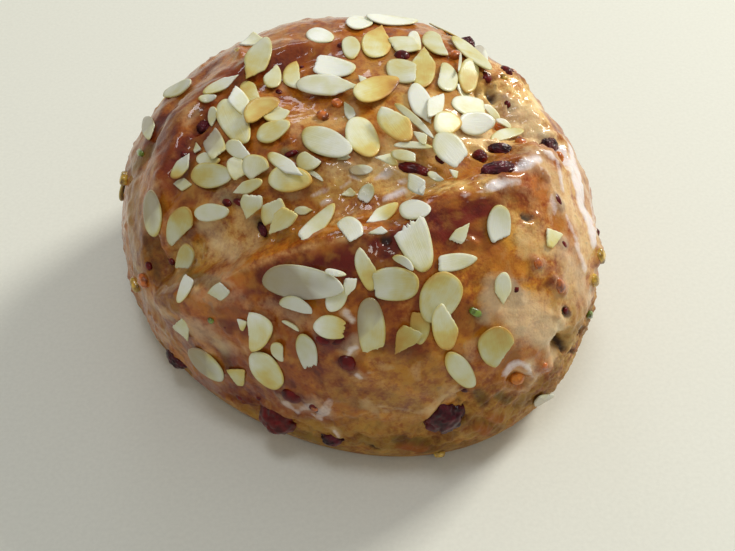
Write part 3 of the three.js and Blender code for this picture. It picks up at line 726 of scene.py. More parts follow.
NUT_BUMPS = (  # chopped nuts just under the skin
    (533, 260, 540, 264, 8), (553, 280, 563, 289, 9), (541, 366, 549, 368, 8), (404, 446, 422, 448, 10),
    (477, 426, 487, 430, 9), (490, 415, 498, 419, 8), (237, 48, 242, 55, 6), (604, 252, 612, 262, 8),
    (532, 165, 536, 170, 8), (543, 172, 546, 178, 7), (362, 368, 366, 374, 8), (470, 240, 474, 244, 6),
)
# burst bubbles and tears; the dark colour inside them is painted shade
PITS = (  # burst bubbles and tears, dark inside
    (557, 336, 562, 350, 7), (524, 216, 528, 218, 4), (458, 402, 462, 405, 3),
    (564, 311, 566, 314, 4), (384, 239, 388, 241, 4), (580, 330, 583, 335, 4), (571, 350, 574, 353, 4),
    (440, 452, 446, 455, 4), (372, 446, 378, 449, 4), (489, 93, 493, 96, 4), (508, 108, 511, 113, 4),
)
KNOBS = 620


def knobs(count, seed):
    """Small lumps, where a chip of nut or fruit lies just under the skin."""
    height, draw = np.zeros(len(U)), random.Random(seed)
    for _ in range(count):
        reach, angle = SKIN * math.sqrt(draw.uniform(0.02, 0.9)), draw.uniform(0, 2 * math.pi)
        u, v = reach * math.cos(angle), reach * math.sin(angle)
        far = np.hypot(U - u, V - v)
        height = np.maximum(height, draw.uniform(0.3, 1.0) * bell(far, draw.uniform(1.2, 2.6)))
    return height


open_crumb = brushed(OPEN_CRUMB, edge=2.0, ragged=4.0)
hollow = brushed(HOLLOW, edge=2.0, ragged=2.0)
berry_stain = brushed(BERRY_STAINS, edge=0.8, ragged=1.2)
knob = knobs(KNOBS, seed=3)
nut_bump = np.maximum(brushed(NUT_BUMPS, edge=1.4, ragged=0.5), 0.45 * knob)
pit = brushed(PITS, edge=0.8, ragged=1.6)
print("open crumb on", round(100 * float(open_crumb.mean())), "% of the skin")

# %% [markdown]
# ## Where the fruit sits
#
# Dried fruit is kneaded in, so it sits in the dough and not on it: the dough rises against its sides
# and the glaze fills the gap. Each piece is read like a stroke. Its middle sinks the skin a little,
# and a low collar of dough stands round it.

# %% Where the fruit sits
FRUIT = {
    "raisin_front": {"at": (431, 434, 459, 405, 32), "tall": 0.75, "sunk": 0.45},
    "cranberry_front_left": {"at": (259, 414, 295, 428, 27), "tall": 0.85, "sunk": 0.35},
    "raisin_front_foot": {"at": (321, 438, 343, 441, 12), "tall": 0.9, "sunk": 0.35},
    "raisin_left_foot": {"at": (163, 351, 182, 370, 15), "tall": 0.8, "sunk": 0.25},
    "raisin_left_fold": {"at": (198, 132, 208, 121, 12), "tall": 0.9, "sunk": 0.35},
    "raisin_open_crumb": {"at": (259, 222, 265, 236, 9), "tall": 0.9, "sunk": 0.4},
    "cranberry_middle": {"at": (397, 165, 431, 173, 13), "tall": 0.9, "sunk": 0.3},
    "cranberry_right": {"at": (473, 153, 487, 160, 13), "tall": 0.8, "sunk": 0.1},
    "raisin_right_front": {"at": (481, 173, 516, 166, 17), "tall": 0.85, "sunk": 0.15},
    "raisin_right_back": {"at": (489, 148, 517, 152, 13), "tall": 0.8, "sunk": 0.15},
    "raisin_right_edge": {"at": (541, 145, 559, 144, 11), "tall": 1.0, "sunk": 0.2},
    "nut_right_edge": {"at": (554, 152, 562, 163, 13), "tall": 0.95, "sunk": 0.25},
    "raisin_back": {"at": (461, 43, 474, 44, 12), "tall": 1.0, "sunk": 0.1},
    "nut_front_right": {"at": (512, 377, 524, 381, 13), "tall": 0.9, "sunk": 0.3},
}
collar, socket = np.zeros(len(U)), np.zeros(len(U))
for fruit in FRUIT.values():
    far, half = stroke_distance(fruit["at"])
    collar = np.maximum(collar, bell(far - half - 0.9, 1.3))
    socket = np.maximum(socket, 1 - smooth(half - 1.2, half + 0.4, far))
print(len(FRUIT), "pieces of fruit and nut, each with a collar of dough")

# %% [markdown]
# ## Pores and runs
#
# Crumb is full of burst bubbles. Cell noise gives them: it measures how far each spot is from the
# nearest of many scattered points, and close to one of them is a pore. The dry foot has larger
# pores, and the torn hollow has craters. Glaze that flowed down the flank set in long ridges, which
# are noise stretched along the way down.

# %% Pores and runs
PORE, FOOT_PORE, CRATER = 2.8, 3.9, 5.2  # millimetres from one bubble to the next
RUN_SPACING, RUN_LENGTH = 4.0, 26.0  # millimetres
FLANK = (72, 108)  # where the runs begin and where they are in full, in millimetres from the top


def pores(size, shift=0.0):
    """1 in the middle of each bubble, 0 on the walls between bubbles."""
    offset = Vector((shift, shift, shift))
    depth = [noise.voronoi(spot / size + offset)[0][0] for spot in points_on_skin]
    return 1 - smooth(0.05, 0.5, np.array(depth))


def runs():
    """Ridges that flow down the loaf, as glaze does."""
    spots = zip(np.arctan2(V, U) * LOAF["radius"] / RUN_SPACING, np.hypot(U, V) / RUN_LENGTH)
    return np.array([noise.fractal(Vector((around, down, 5.0)), 1.0, 2.0, 2) for around, down in spots])


fine_grain, coarse_grain = grain(2.8, 4), grain(8.0, 3, 7.7)
dry = 1 - glazed
crumb_pores = pores(PORE) * smooth(-0.15, 0.25, coarse_grain)
foot_pores = pores(FOOT_PORE, 4.2) * smooth(-0.1, 0.3, grain(6.0, 2, 4.4)) * dry
craters = pores(CRATER, 6.6) * hollow
flank = smooth(*FLANK, np.hypot(U, V)) * glazed
print("runs of glaze on", round(100 * float((flank > 0.5).mean())), "% of the skin")

# %% [markdown]
# ## Fine relief
#
# Baked dough is never flat: it has a cloudy grain of a few tenths of a millimetre. Each kind of skin
# has its own recipe of fine grain, coarse grain and pores, and the masks choose between them. Glaze
# fills small dents, and it stands up where it pooled, dripped or stopped. Nuts lift the skin and
# bubbles sink it.

# %% Fine relief
DRY = {"fine": 0.7, "coarse": 0.7, "pores": 1.1}  # heights and depths in millimetres
GLAZED = {"fine": 0.16, "coarse": 0.42, "film": 0.3, "runs": 0.22}
CRUMB = {"fine": 0.55, "coarse": 0.9, "pores": 0.7, "sunk": 0.3}
HOLLOWED = {"fine": 0.9, "raised": 0.6, "craters": 2.2}
GLAZE = {"pooled": 0.35, "milky": 0.6, "drip": 1.3}  # in millimetres, then as shares of that
POOL_WAVES = 0.5
RISES = ((nut_bump, 1.1), (knob, 0.35), (pit, -1.3), (berry_stain, 0.4), (collar, 0.5), (socket, -1.0))

dry_relief = dry * (DRY["fine"] * fine_grain + DRY["coarse"] * coarse_grain) - DRY["pores"] * foot_pores
glazed_grain = GLAZED["fine"] * fine_grain + GLAZED["coarse"] * coarse_grain
glazed_relief = glazed * (glazed_grain + GLAZED["film"] * GLAZE["pooled"]) + GLAZED["runs"] * flank * runs()
crumb_grain = CRUMB["fine"] * fine_grain + CRUMB["coarse"] * coarse_grain
crumb_relief = crumb_grain - CRUMB["pores"] * crumb_pores - CRUMB["sunk"]
fine = (dry_relief + glazed_relief) * (1 - open_crumb) + open_crumb * (1 - pooled) * crumb_relief
thickness = GLAZE["milky"] * milky + glaze_rim + pooled + GLAZE["drip"] * drip
fine = fine + GLAZE["pooled"] * thickness + POOL_WAVES * pooled * grain(3.2, 2, 1.3)
fine = fine + hollow * (HOLLOWED["fine"] * fine_grain + HOLLOWED["raised"]) - HOLLOWED["craters"] * craters
for mark, height in RISES:
    fine = fine + height * mark
lifted = smooth_skin + OUT * (fine * above_foot(U, V))[:, None]
foot_line = bare(U, V) * np.array([1.0, 1.0, 0.0])
for vert, spot, foot in zip(sheet.verts, lifted, foot_line):
    vert.co = foot if vert.is_boundary else spot
print("fine relief from", round(float(fine.min()), 1), "to", round(float(fine.max()), 1), "mm")

# %% [markdown]
# ## Closing the foot
#
# The loaf lies flat on its foot. Extruding the sheet's edge and pulling the new edge inwards turns
# the rim under, and one face closes the rest. The bubbles above it are never seen, so the loaf is
# solid. An extrusion makes its faces in an order that changes from run to run, so they are put in
# the order of their points, and each run gives the same mesh, face by face.

# %% Closing the foot
TURNED_IN = 0.94  # how far the foot's edge turns in, as a share of its radius


def settle_order(bm):
    """Puts the faces in the order of their points: by the last, then the first, then all of them."""
    bm.verts.index_update()
    count = len(bm.verts)

    def rank(face):
        spots = [vert.index for vert in face.verts]
        return (max(spots) * count + min(spots)) * 4 * count + sum(spots)

    bm.faces.sort(key=rank)


rim = [edge for edge in sheet.edges if edge.is_boundary]
turned_under = bmesh.ops.extrude_edge_only(sheet, edges=rim)["geom"]
inner = [item for item in turned_under if isinstance(item, bmesh.types.BMVert)]
bmesh.ops.scale(sheet, vec=(TURNED_IN, TURNED_IN, 1.0), verts=inner)
inner_edges = [item for item in turned_under if isinstance(item, bmesh.types.BMEdge)]
base = bmesh.ops.contextual_create(sheet, geom=[edge for edge in inner_edges if edge.is_boundary])
bmesh.ops.triangulate(sheet, faces=base["faces"])
bmesh.ops.recalc_face_normals(sheet, faces=sheet.faces)
settle_order(sheet)
print("faces in the closed loaf:", len(sheet.faces))

# %% [markdown]
# ## One helper for every finish
#
# A material is a small network of nodes. One function adds a node, sets its options and fills its
# inputs, either with a value or with the output of another node. Patterns read the loaf's own
# coordinates, which are in metres, so a second function turns the size of a pattern's marks in
# millimetres into the scale that the node asks for.

# %% A node and its links
def add(tree, kind, inputs=None, stops=None, **options):
    """Adds a node. `inputs` gives sockets a value or a link; `stops` are a colour ramp's colours."""
    made = tree.nodes.new(kind)
    for name, value in options.items():
        setattr(made, name, value)
    for socket, value in (inputs or {}).items():
        if isinstance(value, bpy.types.NodeSocket):
            tree.links.new(value, made.inputs[socket])
        else:
            made.inputs[socket].default_value = value
    if stops:
        ramp = made.color_ramp
        while len(ramp.elements) < len(stops):
            ramp.elements.new(1.0)
        for element, (position, colour) in zip(ramp.elements, stops):
            element.position = position
            element.color = paint(colour)
    return made


def new_finish(name):
    """An empty material and its tree of nodes."""
    finish = bpy.data.materials.new(name)
    finish.use_nodes = True
    finish.node_tree.nodes.clear()
    return finish, finish.node_tree


def marks(size):
    """The scale of a pattern whose marks are this many millimetres apart."""
    return 1 / (size * MM)


print("marks of 2 mm have a scale of", round(marks(2.0)))

# %% [markdown]
# ## Glazed crust
#
# The crust is enriched dough, brushed with egg, baked, then brushed with sugar glaze. The painted
# colour gives each patch its tone, and three sizes of noise break it up: clouds two centimetres
# wide, mottles of a few millimetres, and specks. Over that go the marks, whose pores and pits are
# darkened as painted shade, then the milky film, then the thick white glaze, in the order in which
# they lie on the loaf. The film and the white glaze also paint highlights and glints where the glaze
# shines. The glaze is a clear coat, glossy and a little wavy, fullest where it pooled, and the dry
# foot has almost none of it. Light goes a little way into dough, which subsurface scattering gives.

# %% Masks and noise of the crust
MASKS = {"glazed": glazed, "pooled": pooled, "milky": milky, "drip": drip, "berry_stain": berry_stain,
         "nut_bump": nut_bump, "pit": pit,
         "pores": np.maximum.reduce([crumb_pores * open_crumb, craters, foot_pores])}
CLOUD, MOTTLE, SPECK = 18.2, 4.17, 1.11  # millimetres from one mark to the next

crust, tree = new_finish("glazed_egg_dough")
place = add(tree, "ShaderNodeTexCoord").outputs["Object"]
mask = {name: add(tree, "ShaderNodeAttribute", attribute_name=name).outputs["Fac"] for name in MASKS}
painted = add(tree, "ShaderNodeAttribute", attribute_name="tint").outputs["Color"]
cloud = add(tree, "ShaderNodeTexNoise", {"Vector": place, "Scale": marks(CLOUD), "Detail": 5.0,
            "Roughness": 0.6})
mottle = add(tree, "ShaderNodeTexNoise", {"Vector": place, "Scale": marks(MOTTLE), "Detail": 5.0,
             "Roughness": 0.65})
speck = add(tree, "ShaderNodeTexNoise", {"Vector": place, "Scale": marks(SPECK), "Detail": 3.0,
            "Roughness": 0.6})
print("the crust reads", len(MASKS), "masks")

# %% Tones and marks of the crust
BAKED = ((0.3, "#84461e"), (0.41, "#cc9262"), (0.51, "#fae2ba"), (0.63, "#fffbe0"))
FRECKLE_BROWN = "#6b2f12"
# pores and pits are darkened as painted shade in their hollows; nut bumps and berry stains are the crust's
# own colours
MARK_COLOURS = {"pores": ("#805a22", 0.6), "nut_bump": ("#a04e12", 0.6), "berry_stain": ("#5a1010", 0.7),
                "pit": ("#2c1408", 0.95)}  # each with how strongly it covers

lightness = add(tree, "ShaderNodeMix", {0: 0.55, 2: cloud.outputs["Fac"], 3: mottle.outputs["Fac"]})
lightness = add(tree, "ShaderNodeMix", {0: 0.2, 2: lightness.outputs[0], 3: speck.outputs["Fac"]})
shade = add(tree, "ShaderNodeValToRGB", {"Fac": lightness.outputs[0]}, stops=BAKED)
colour = add(tree, "ShaderNodeMix", {0: 1.0, 6: painted, 7: shade.outputs[0]}, data_type="RGBA",
             blend_type="MULTIPLY")
freckle = add(tree, "ShaderNodeMapRange", {"Value": mottle.outputs["Fac"], "From Min": 0.62, "From Max": 0.7,
              "To Max": 0.5})
colour = add(tree, "ShaderNodeMix", {0: freckle.outputs[0], 6: colour.outputs[2], 7: paint(FRECKLE_BROWN)},
             data_type="RGBA")
for name, (hue, strength) in MARK_COLOURS.items():
    cover = add(tree, "ShaderNodeMath", {0: mask[name], 1: strength}, operation="MULTIPLY")
    colour = add(tree, "ShaderNodeMix", {0: cover.outputs[0], 6: colour.outputs[2], 7: paint(hue)},
                 data_type="RGBA")
print("without its glaze the colour takes", len(tree.nodes), "nodes")

# %% Milky film, thick white glaze and painted highlights
# both colours also paint highlights and glints where the glaze shines
FILM_AND_HIGHLIGHT_COLOUR, THICK_GLAZE_AND_GLINT_COLOUR = "#eed7ac", "#f2eaea"

torn = add(tree, "ShaderNodeMath", {0: lightness.outputs[0], 1: 0.9, 2: mask["milky"]},
           operation="MULTIPLY_ADD")
film = add(tree, "ShaderNodeMapRange", {"Value": torn.outputs[0], "From Min": 0.6, "From Max": 1.55,
           "To Max": 0.9})
colour = add(tree, "ShaderNodeMix", {0: film.outputs[0], 6: colour.outputs[2], 7: paint(FILM_AND_HIGHLIGHT_COLOUR)},
             data_type="RGBA")
ragged_drip_and_glint = add(tree, "ShaderNodeMath", {0: speck.outputs["Fac"], 1: 0.3, 2: mask["drip"]},
                  operation="MULTIPLY_ADD")
thick_and_glint = add(tree, "ShaderNodeMapRange", {"Value": ragged_drip_and_glint.outputs[0], "From Min": 0.45, "From Max": 1.05,
            "To Max": 0.85})
colour = add(tree, "ShaderNodeMix", {0: thick_and_glint.outputs[0], 6: colour.outputs[2],
             7: paint(THICK_GLAZE_AND_GLINT_COLOUR)}, data_type="RGBA")
print("with its glaze the colour takes", len(tree.nodes), "nodes")

# %% Gloss and bumps of the crust
roughness = add(tree, "ShaderNodeMapRange", {"Value": mask["glazed"], "To Min": 0.65, "To Max": 0.45})
wet = add(tree, "ShaderNodeMath", {0: mask["pooled"], 1: 0.6, 2: mask["glazed"]}, operation="MULTIPLY_ADD")
coat = add(tree, "ShaderNodeMapRange", {"Value": wet.outputs[0], "From Max": 1.6, "To Min": 0.2,
           "To Max": 0.95})
bump = add(tree, "ShaderNodeBump", {"Height": mottle.outputs["Fac"], "Strength": 0.5, "Distance": 0.8 * MM})
bump = add(tree, "ShaderNodeBump", {"Height": speck.outputs["Fac"], "Strength": 0.5, "Distance": 0.4 * MM,
           "Normal": bump.outputs[0]})
shader = add(tree, "ShaderNodeBsdfPrincipled", {
    "Base Color": colour.outputs[2], "Roughness": roughness.outputs[0], "IOR": 1.45,
    "Normal": bump.outputs[0], "Specular IOR Level": 0.15, "Subsurface Weight": 0.1,
    "Subsurface Radius": (1.0, 0.6, 0.3), "Subsurface Scale": 1.5 * MM,
    "Coat Weight": coat.outputs[0], "Coat Roughness": 0.05, "Coat IOR": 1.45})
add(tree, "ShaderNodeOutputMaterial", {"Surface": shader.outputs[0]})
print(crust.name, "has", len(tree.nodes), "nodes")

# %% [markdown]
# ## The dough becomes an object
#
# The masks and the painted colour go along as attributes of the mesh, one value for each point, and
# the nodes above read them by name. No picture has to be wrapped round the loaf, so nothing can
# stretch or show a seam. The points that closed the foot came last and stay dry.

# %% The dough becomes an object
def to_object(bm, name, material):
    """Turns millimetres into metres and makes a smooth shaded object that rides on the loaf."""
    bmesh.ops.scale(bm, vec=(MM, MM, MM), verts=bm.verts)
    mesh = bpy.data.meshes.new(name)
    bm.to_mesh(mesh)
    bm.free()
    mesh.materials.append(material)
    mesh.shade_smooth()
    piece = bpy.data.objects.new(name, mesh)
    bpy.context.scene.collection.objects.link(piece)
    print(name, "has", len(mesh.polygons), "faces")
    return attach(piece, "root")


dough = to_object(sheet, "loaf_dough", crust)
spots_in_all = len(dough.data.vertices)
for name, values in MASKS.items():
    padded = np.zeros(spots_in_all, np.float32)
    padded[:len(values)] = values
    dough.data.attributes.new(name, "FLOAT", "POINT").data.foreach_set("value", padded)
painted_colour = np.ones((spots_in_all, 4), np.float32)
painted_colour[:, :3] = tint("dry")
painted_colour[:len(U), :3] = colour_of_skin
dough.data.attributes.new("tint", "FLOAT_COLOR", "POINT").data.foreach_set("color", painted_colour.ravel())
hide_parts("loaf")

# %% [markdown]
# ## Where the almond flakes lie
#
# Flakes are slices of blanched almond, up to 25 mm long and under a millimetre thick. They are listed
# from the bottom of each heap to its top. After the two ends and the width in the view comes how
# toasted a flake is: 0 is ivory, 1 is amber. Few are whole: the last words say how one broke, or that
# glaze has soaked in and made it glassy.

# %% Where the almond flakes lie
FRONT_FLAP = (
    (330, 311, 344, 283, 20, 0.3, "corner"), (352, 277, 346, 297, 13, 0.2, "wedge"),
    (263, 278, 344, 288, 34, 0.1, "whole", "soaked"), (361, 247, 371, 291, 20, 0.4, "corner start"),
    (419, 284, 372, 284, 34, 0.4, "end"), (407, 221, 427, 271, 35, 0.2, "sawn start"),
    (437, 265, 477, 258, 18, 0.3, "start"), (454, 243, 470, 223, 14, 0.2, "wedge"),
    (499, 205, 499, 243, 24, 0.1, "slant"), (546, 229, 558, 244, 19, 0.35, "chip"),
    (503, 272, 503, 305, 17, 0.25, "pointed"), (421, 312, 419, 344, 21, 0.9, "start"),
    (395, 354, 415, 327, 23, 0.95, "wedge start"), (452, 274, 427, 322, 40, 0.6, "whole"),
    (443, 303, 447, 350, 26, 0.6, "corner start"), (448, 353, 473, 388, 22, 0.45, "whole"),
    (493, 326, 500, 366, 37, 0.7, "deep corner"), (368, 297, 374, 351, 28, 0.5, "end", "soaked"),
    (314, 324, 346, 330, 24, 0.3, "sawn"), (302, 333, 311, 367, 20, 0.2, "sawn"),
    # the flake from 252, 353 has a darker toast than its own, as painted shade on the front left
    (280, 299, 313, 309, 14, 0.15, "half"), (252, 353, 280, 388, 29, 0.45, "whole"),
    (259, 311, 262, 350, 25, 0.4, "half"), (226, 371, 246, 380, 16, 0.7, "chip"),
    (189, 349, 223, 380, 25, 0.4, "whole", "soaked"), (212, 297, 228, 286, 17, 0.2, "both"),
    (190, 276, 179, 303, 12, 0.2, "start"), (178, 320, 189, 340, 14, 0.3, "wedge"),
    (325, 271, 346, 275, 7, 0.2, "whole"), (394, 255, 415, 268, 9, 0.2, "half"),
    (237, 319, 246, 328, 9, 0.3, "chip"), (273, 343, 284, 361, 13, 0.4, "corner"),
    (282, 320, 300, 330, 4, 0.2, "half"), (535, 405, 556, 395, 12, 0.1, "half", "soaked"),
)
LEFT_SHOULDER = (
    (147, 116, 150, 140, 18, 0.4, "corner", "soaked"), (150, 190, 155, 237, 18, 0.5, "whole", "soaked"),
    (185, 207, 173, 247, 25, 0.6, "corner"), (194, 213, 229, 212, 18, 0.3, "whole"),
    (189, 243, 183, 268, 17, 0.55, "end"), (175, 188, 190, 181, 11, 0.2, "both"),
    (173, 179, 190, 154, 13, 0.45, "pointed"), (196, 160, 220, 158, 14, 0.4, "corner"),
    (191, 175, 232, 176, 26, 0.5, "whole"), (196, 143, 198, 153, 8, 0.3, "chip"),
    (199, 100, 217, 97, 8, 0.2, "whole"), (213, 107, 213, 127, 10, 0.3, "corner"),
    (209, 132, 220, 158, 21, 0.35, "both", "soaked"), (222, 98, 246, 145, 29, 0.45, "whole"),
    (232, 157, 240, 178, 18, 0.4, "end"), (226, 144, 252, 156, 17, 0.2, "corner"),
    (258, 155, 252, 180, 27, 0.35, "corner"), (233, 193, 262, 181, 13, 0.4, "pointed start"),
    (247, 219, 254, 194, 22, 0.45, "wedge start"), (275, 225, 273, 199, 26, 0.4, "both"),
    (269, 234, 292, 210, 20, 0.65, "wedge start"), (294, 211, 313, 210, 9, 0.35, "pointed"),
    (301, 242, 335, 205, 17, 0.35, "start"), (268, 178, 312, 180, 27, 0.7, "whole"),
    (268, 154, 303, 176, 14, 0.1, "pointed"), (304, 168, 324, 180, 5, 0.3, "half"),
    (296, 162, 321, 160, 19, 0.4, "corner"), (262, 114, 290, 112, 19, 0.3, "corner"),
    (257, 138, 290, 123, 20, 0.5, "whole"), (241, 85, 262, 101, 18, 0.7, "corner"),
    (243, 117, 277, 97, 20, 0.95, "half"), (230, 89, 247, 111, 18, 0.1, "both"),
    (203, 94, 239, 76, 11, 0.25, "pointed"), (164, 97, 192, 81, 11, 0.2, "whole"),
    (240, 47, 262, 36, 14, 0.2, "chip"), (246, 80, 268, 38, 25, 0.5, "pointed start"),
)
CROWN = (
    (292, 88, 290, 61, 18, 0.6, "half"), (270, 88, 276, 65, 18, 0.3, "corner"),
    (296, 84, 359, 86, 21, 0.2, "pointed"), (314, 65, 356, 69, 21, 0.0, "start"),
    (306, 33, 334, 38, 15, 0.1, "whole"), (346, 22, 373, 23, 17, 0.0, "whole"),
    (366, 18, 418, 23, 17, 0.0, "whole"), (412, 31, 417, 50, 12, 0.2, "end"),
    (351, 36, 351, 59, 19, 0.4, "whole"), (358, 77, 366, 83, 8, 0.2, "chip"),
    (372, 58, 382, 25, 30, 0.75, "pointed"), (388, 45, 421, 44, 16, 0.3, "both"),
    (424, 34, 449, 54, 22, 0.4, "corner"), (455, 85, 471, 97, 15, 0.3, "chip"),
    (422, 89, 424, 46, 26, 0.75, "pointed"), (452, 91, 441, 63, 22, 0.4, "corner"),
    (469, 59, 468, 94, 21, 0.7, "whole"), (386, 68, 417, 74, 26, 0.4, "end"),
    (354, 96, 399, 80, 24, 0.85, "whole"), (412, 84, 431, 124, 22, 0.0, "pointed"),
    (437, 93, 434, 118, 17, 0.1, "both"), (484, 104, 501, 121, 8, 0.3, "half"),
    (396, 103, 435, 138, 8, 0.3, "half"), (434, 124, 462, 122, 24, 0.6, "whole"),
    (452, 101, 488, 112, 20, 0.25, "slant"), (489, 138, 522, 130, 11, 0.4, "half"),
    (458, 124, 494, 123, 24, 0.0, "whole"), (344, 102, 353, 119, 11, 0.4, "wedge start"),
    (394, 144, 432, 146, 7, 0.3, "half"), (383, 106, 408, 142, 28, 0.72, "corner start"),
    (391, 153, 416, 158, 11, 0.5, "end"), (437, 134, 462, 162, 28, 0.05, "end"),
    (349, 171, 373, 169, 11, 0.5, "whole", "soaked"), (375, 158, 398, 160, 12, 0.5, "chip"),
    (337, 160, 350, 156, 5, 0.3, "chip"), (350, 120, 376, 156, 31, 0.5, "whole"),
    (301, 134, 352, 150, 28, 0.15, "whole"), (478, 42, 489, 60, 12, 0.0, "whole", "soaked"),
    (461, 54, 459, 73, 3, 0.3, "half"), (412, 132, 428, 142, 11, 0.3, "chip"),
    (496, 118, 512, 127, 6, 0.2, "half"), (449, 35, 493, 71, 12, 0.4, "whole"),
)
OPEN_CUT = (
    (341, 196, 355, 191, 9, 0.3, "chip"), (371, 184, 362, 202, 15, 0.2, "sawn"),
    (406, 179, 426, 190, 16, 0.1, "both"), (428, 174, 444, 180, 8, 0.3, "corner"),
    (368, 234, 387, 229, 8, 0.1, "chip"), (366, 224, 398, 205, 15, 0.35, "pointed start"),
    (399, 209, 431, 210, 20, 0.0, "whole"), (346, 217, 356, 240, 23, 0.0, "split end"),
    (417, 183, 424, 192, 8, 0.1, "chip"), (449, 170, 458, 176, 7, 0.4, "chip"),
)
LARGEST_FLAKE = {"length": 25.0, "width": 13.5}
STEEP, TOWARDS_THE_EYE = 0.75, 0.3  # on skin steeper than this to the view a flake leans to the eye


def in_plane(step, normal, sight):
    """A step of the view, slid along the line of sight into the plane with this normal."""
    return step - sight * (step.dot(normal) / sight.dot(normal))


def read_flake(row):
    """Where a flake lies, with its two half axes still square to the line of sight."""
    x1, y1, x2, y2, wide = row[:5]
    middle = seen_at((x1 + x2) / 2, (y1 + y2) / 2)
    sight = (middle - eye).normalized()
    per_pixel = (eye - middle).dot(back) / VIEW["focal"]
    along = (right * (x2 - x1) - up * (y2 - y1)) * per_pixel / 2
    across = back.cross(along).normalized() * wide * per_pixel / 2
    normal = outward_at(middle)
    if normal.dot(back) < STEEP:
        normal = normal.lerp(back, TOWARDS_THE_EYE).normalized()
    return {"middle": middle, "normal": normal, "sight": sight, "along": along, "across": across,
            "toast": row[5], "shape": row[6], "soaked": "soaked" in row}


flake_places = [read_flake(row) for row in LEFT_SHOULDER + CROWN + OPEN_CUT + FRONT_FLAP]
print(len(flake_places), "flakes read")

# %% [markdown]
# ## Flakes round the back
#
# The view doesn't show the back, but the baker strewed it too. A sunflower spiral, each step turned
# by the golden angle, spreads places as evenly as the seeds of a sunflower, and only those that
# the camera can't see get a flake. Sines of the step's number vary direction, size and colour.

# %% Flakes round the back
GOLDEN_ANGLE = 2.39996
SPIRAL_STEP = 15.2  # millimetres between neighbours
SPIRAL_STEPS = 64
LOWEST_FLAKE = 118.0  # millimetres from the top, along the skin
OUT_OF_SIGHT = -0.08  # the cosine of the view's angle, past which a flake can't be seen
BACK_FLAKE = {"half long": 7.5, "varies": 2.5, "slender": 0.58}
BACK_SHAPES = ("whole", "end", "whole", "pointed", "corner", "whole", "half")


def back_places():
    """Places on the side that the camera can't see, in the form that read_flake gives."""
    places = []
    for k in range(1, SPIRAL_STEPS + 1):
        s = SPIRAL_STEP * math.sqrt(k)
        u, v = s * math.cos(k * GOLDEN_ANGLE), s * math.sin(k * GOLDEN_ANGLE)
        normal = Vector(outward(np.array([u]), np.array([v]))[0])
        middle = Vector(bare(np.array([u]), np.array([v]))[0])
        middle += normal * float(relief(np.array([u]), np.array([v]))[0])
        if normal.dot((eye - middle).normalized()) > OUT_OF_SIGHT or s > LOWEST_FLAKE:
            continue
        level = Vector((0, 0, 1)).cross(normal).normalized()
        along = level * math.cos(2.1 * k) + normal.cross(level) * math.sin(2.1 * k)
        half_long = BACK_FLAKE["half long"] + BACK_FLAKE["varies"] * math.sin(3.7 * k)
        places.append({"middle": middle, "normal": normal, "sight": -normal, "along": along * half_long,
                       "across": normal.cross(along) * half_long * BACK_FLAKE["slender"],
                       "toast": 0.3 + 0.25 * math.sin(5.3 * k), "soaked": False,
                       "shape": BACK_SHAPES[k % len(BACK_SHAPES)]})
    return places


flake_places += back_places()
print(len(flake_places), "flakes in all")

# %% [markdown]
# ## Laying a flake on what is there
#
# Each flake is dropped on what is already there. At a few spots under it the height of the skin, or
# of an earlier flake, is measured, and a plane through those heights tilts it. So flakes overlap like
# tiles, and shadows show under their raised edges. Slices also warp as they dry, so each is curled
# and twisted a little. Tilting a flake would change how long it looks, so its half axes are measured
# again in the tilted plane, along the line of sight.

# %% Laying a flake on what is there
THICKNESS = 0.7
STEEPEST = 0.22  # as a slope
SETTLED = 0.95  # how much of the highest bump under it lifts a flake, before it sinks into the glaze
PROBE_FROM, NOTHING_THERE, TOO_FAR_DOWN = 12.0, -3.0, -6.0  # heights over the skin, for the probes
PROBES = [(x / 6, y / 6) for x in range(-6, 7) for y in range(-6, 7, 2) if math.hypot(x, y) < 6.2]
laid_flakes = []
fine_tree = BVHTree.FromObject(dough, bpy.context.evaluated_depsgraph_get())


def shortened(axis, longest):
    """A half axis, cut down to the largest that a real flake has."""
    return axis * min(1.0, longest / 2 / axis.length)


def half_axes(place, normal):
    """A flake's half length and half width as steps in the plane with this normal."""
    along = in_plane(place["along"], normal, place["sight"])
    across = in_plane(place["across"], normal, place["sight"])
    return shortened(along, LARGEST_FLAKE["length"]), shortened(across, LARGEST_FLAKE["width"])


def warped(flake, x, y):
    """How far a flake's own warp lifts a spot of it, which is -1 to 1 along it and across it."""
    return flake["curl"] * x * x + flake["twist"] * x * y


def height_under(spot, normal):
    """How high the skin, or the highest flake on it, stands over a spot, along a direction."""
    _, _, _, drop = fine_tree.ray_cast((spot + normal * PROBE_FROM) * MM, -normal)
    height = PROBE_FROM - drop / MM if drop is not None else NOTHING_THERE
    for other in laid_flakes:
        slope = normal.dot(other["normal"])
        if slope < 0.5 or (spot - other["middle"]).length > 1.2 * LARGEST_FLAKE["length"]:
            continue
        lift = (other["middle"] - spot).dot(other["normal"]) / slope
        way = spot + normal * lift - other["middle"]
        x, y = way.dot(other["per_along"]), way.dot(other["per_across"])
        if math.hypot(x, y) < 1.05 and lift > TOO_FAR_DOWN:
            height = max(height, lift + warped(other, x, y) + 0.5 * THICKNESS)
    return height


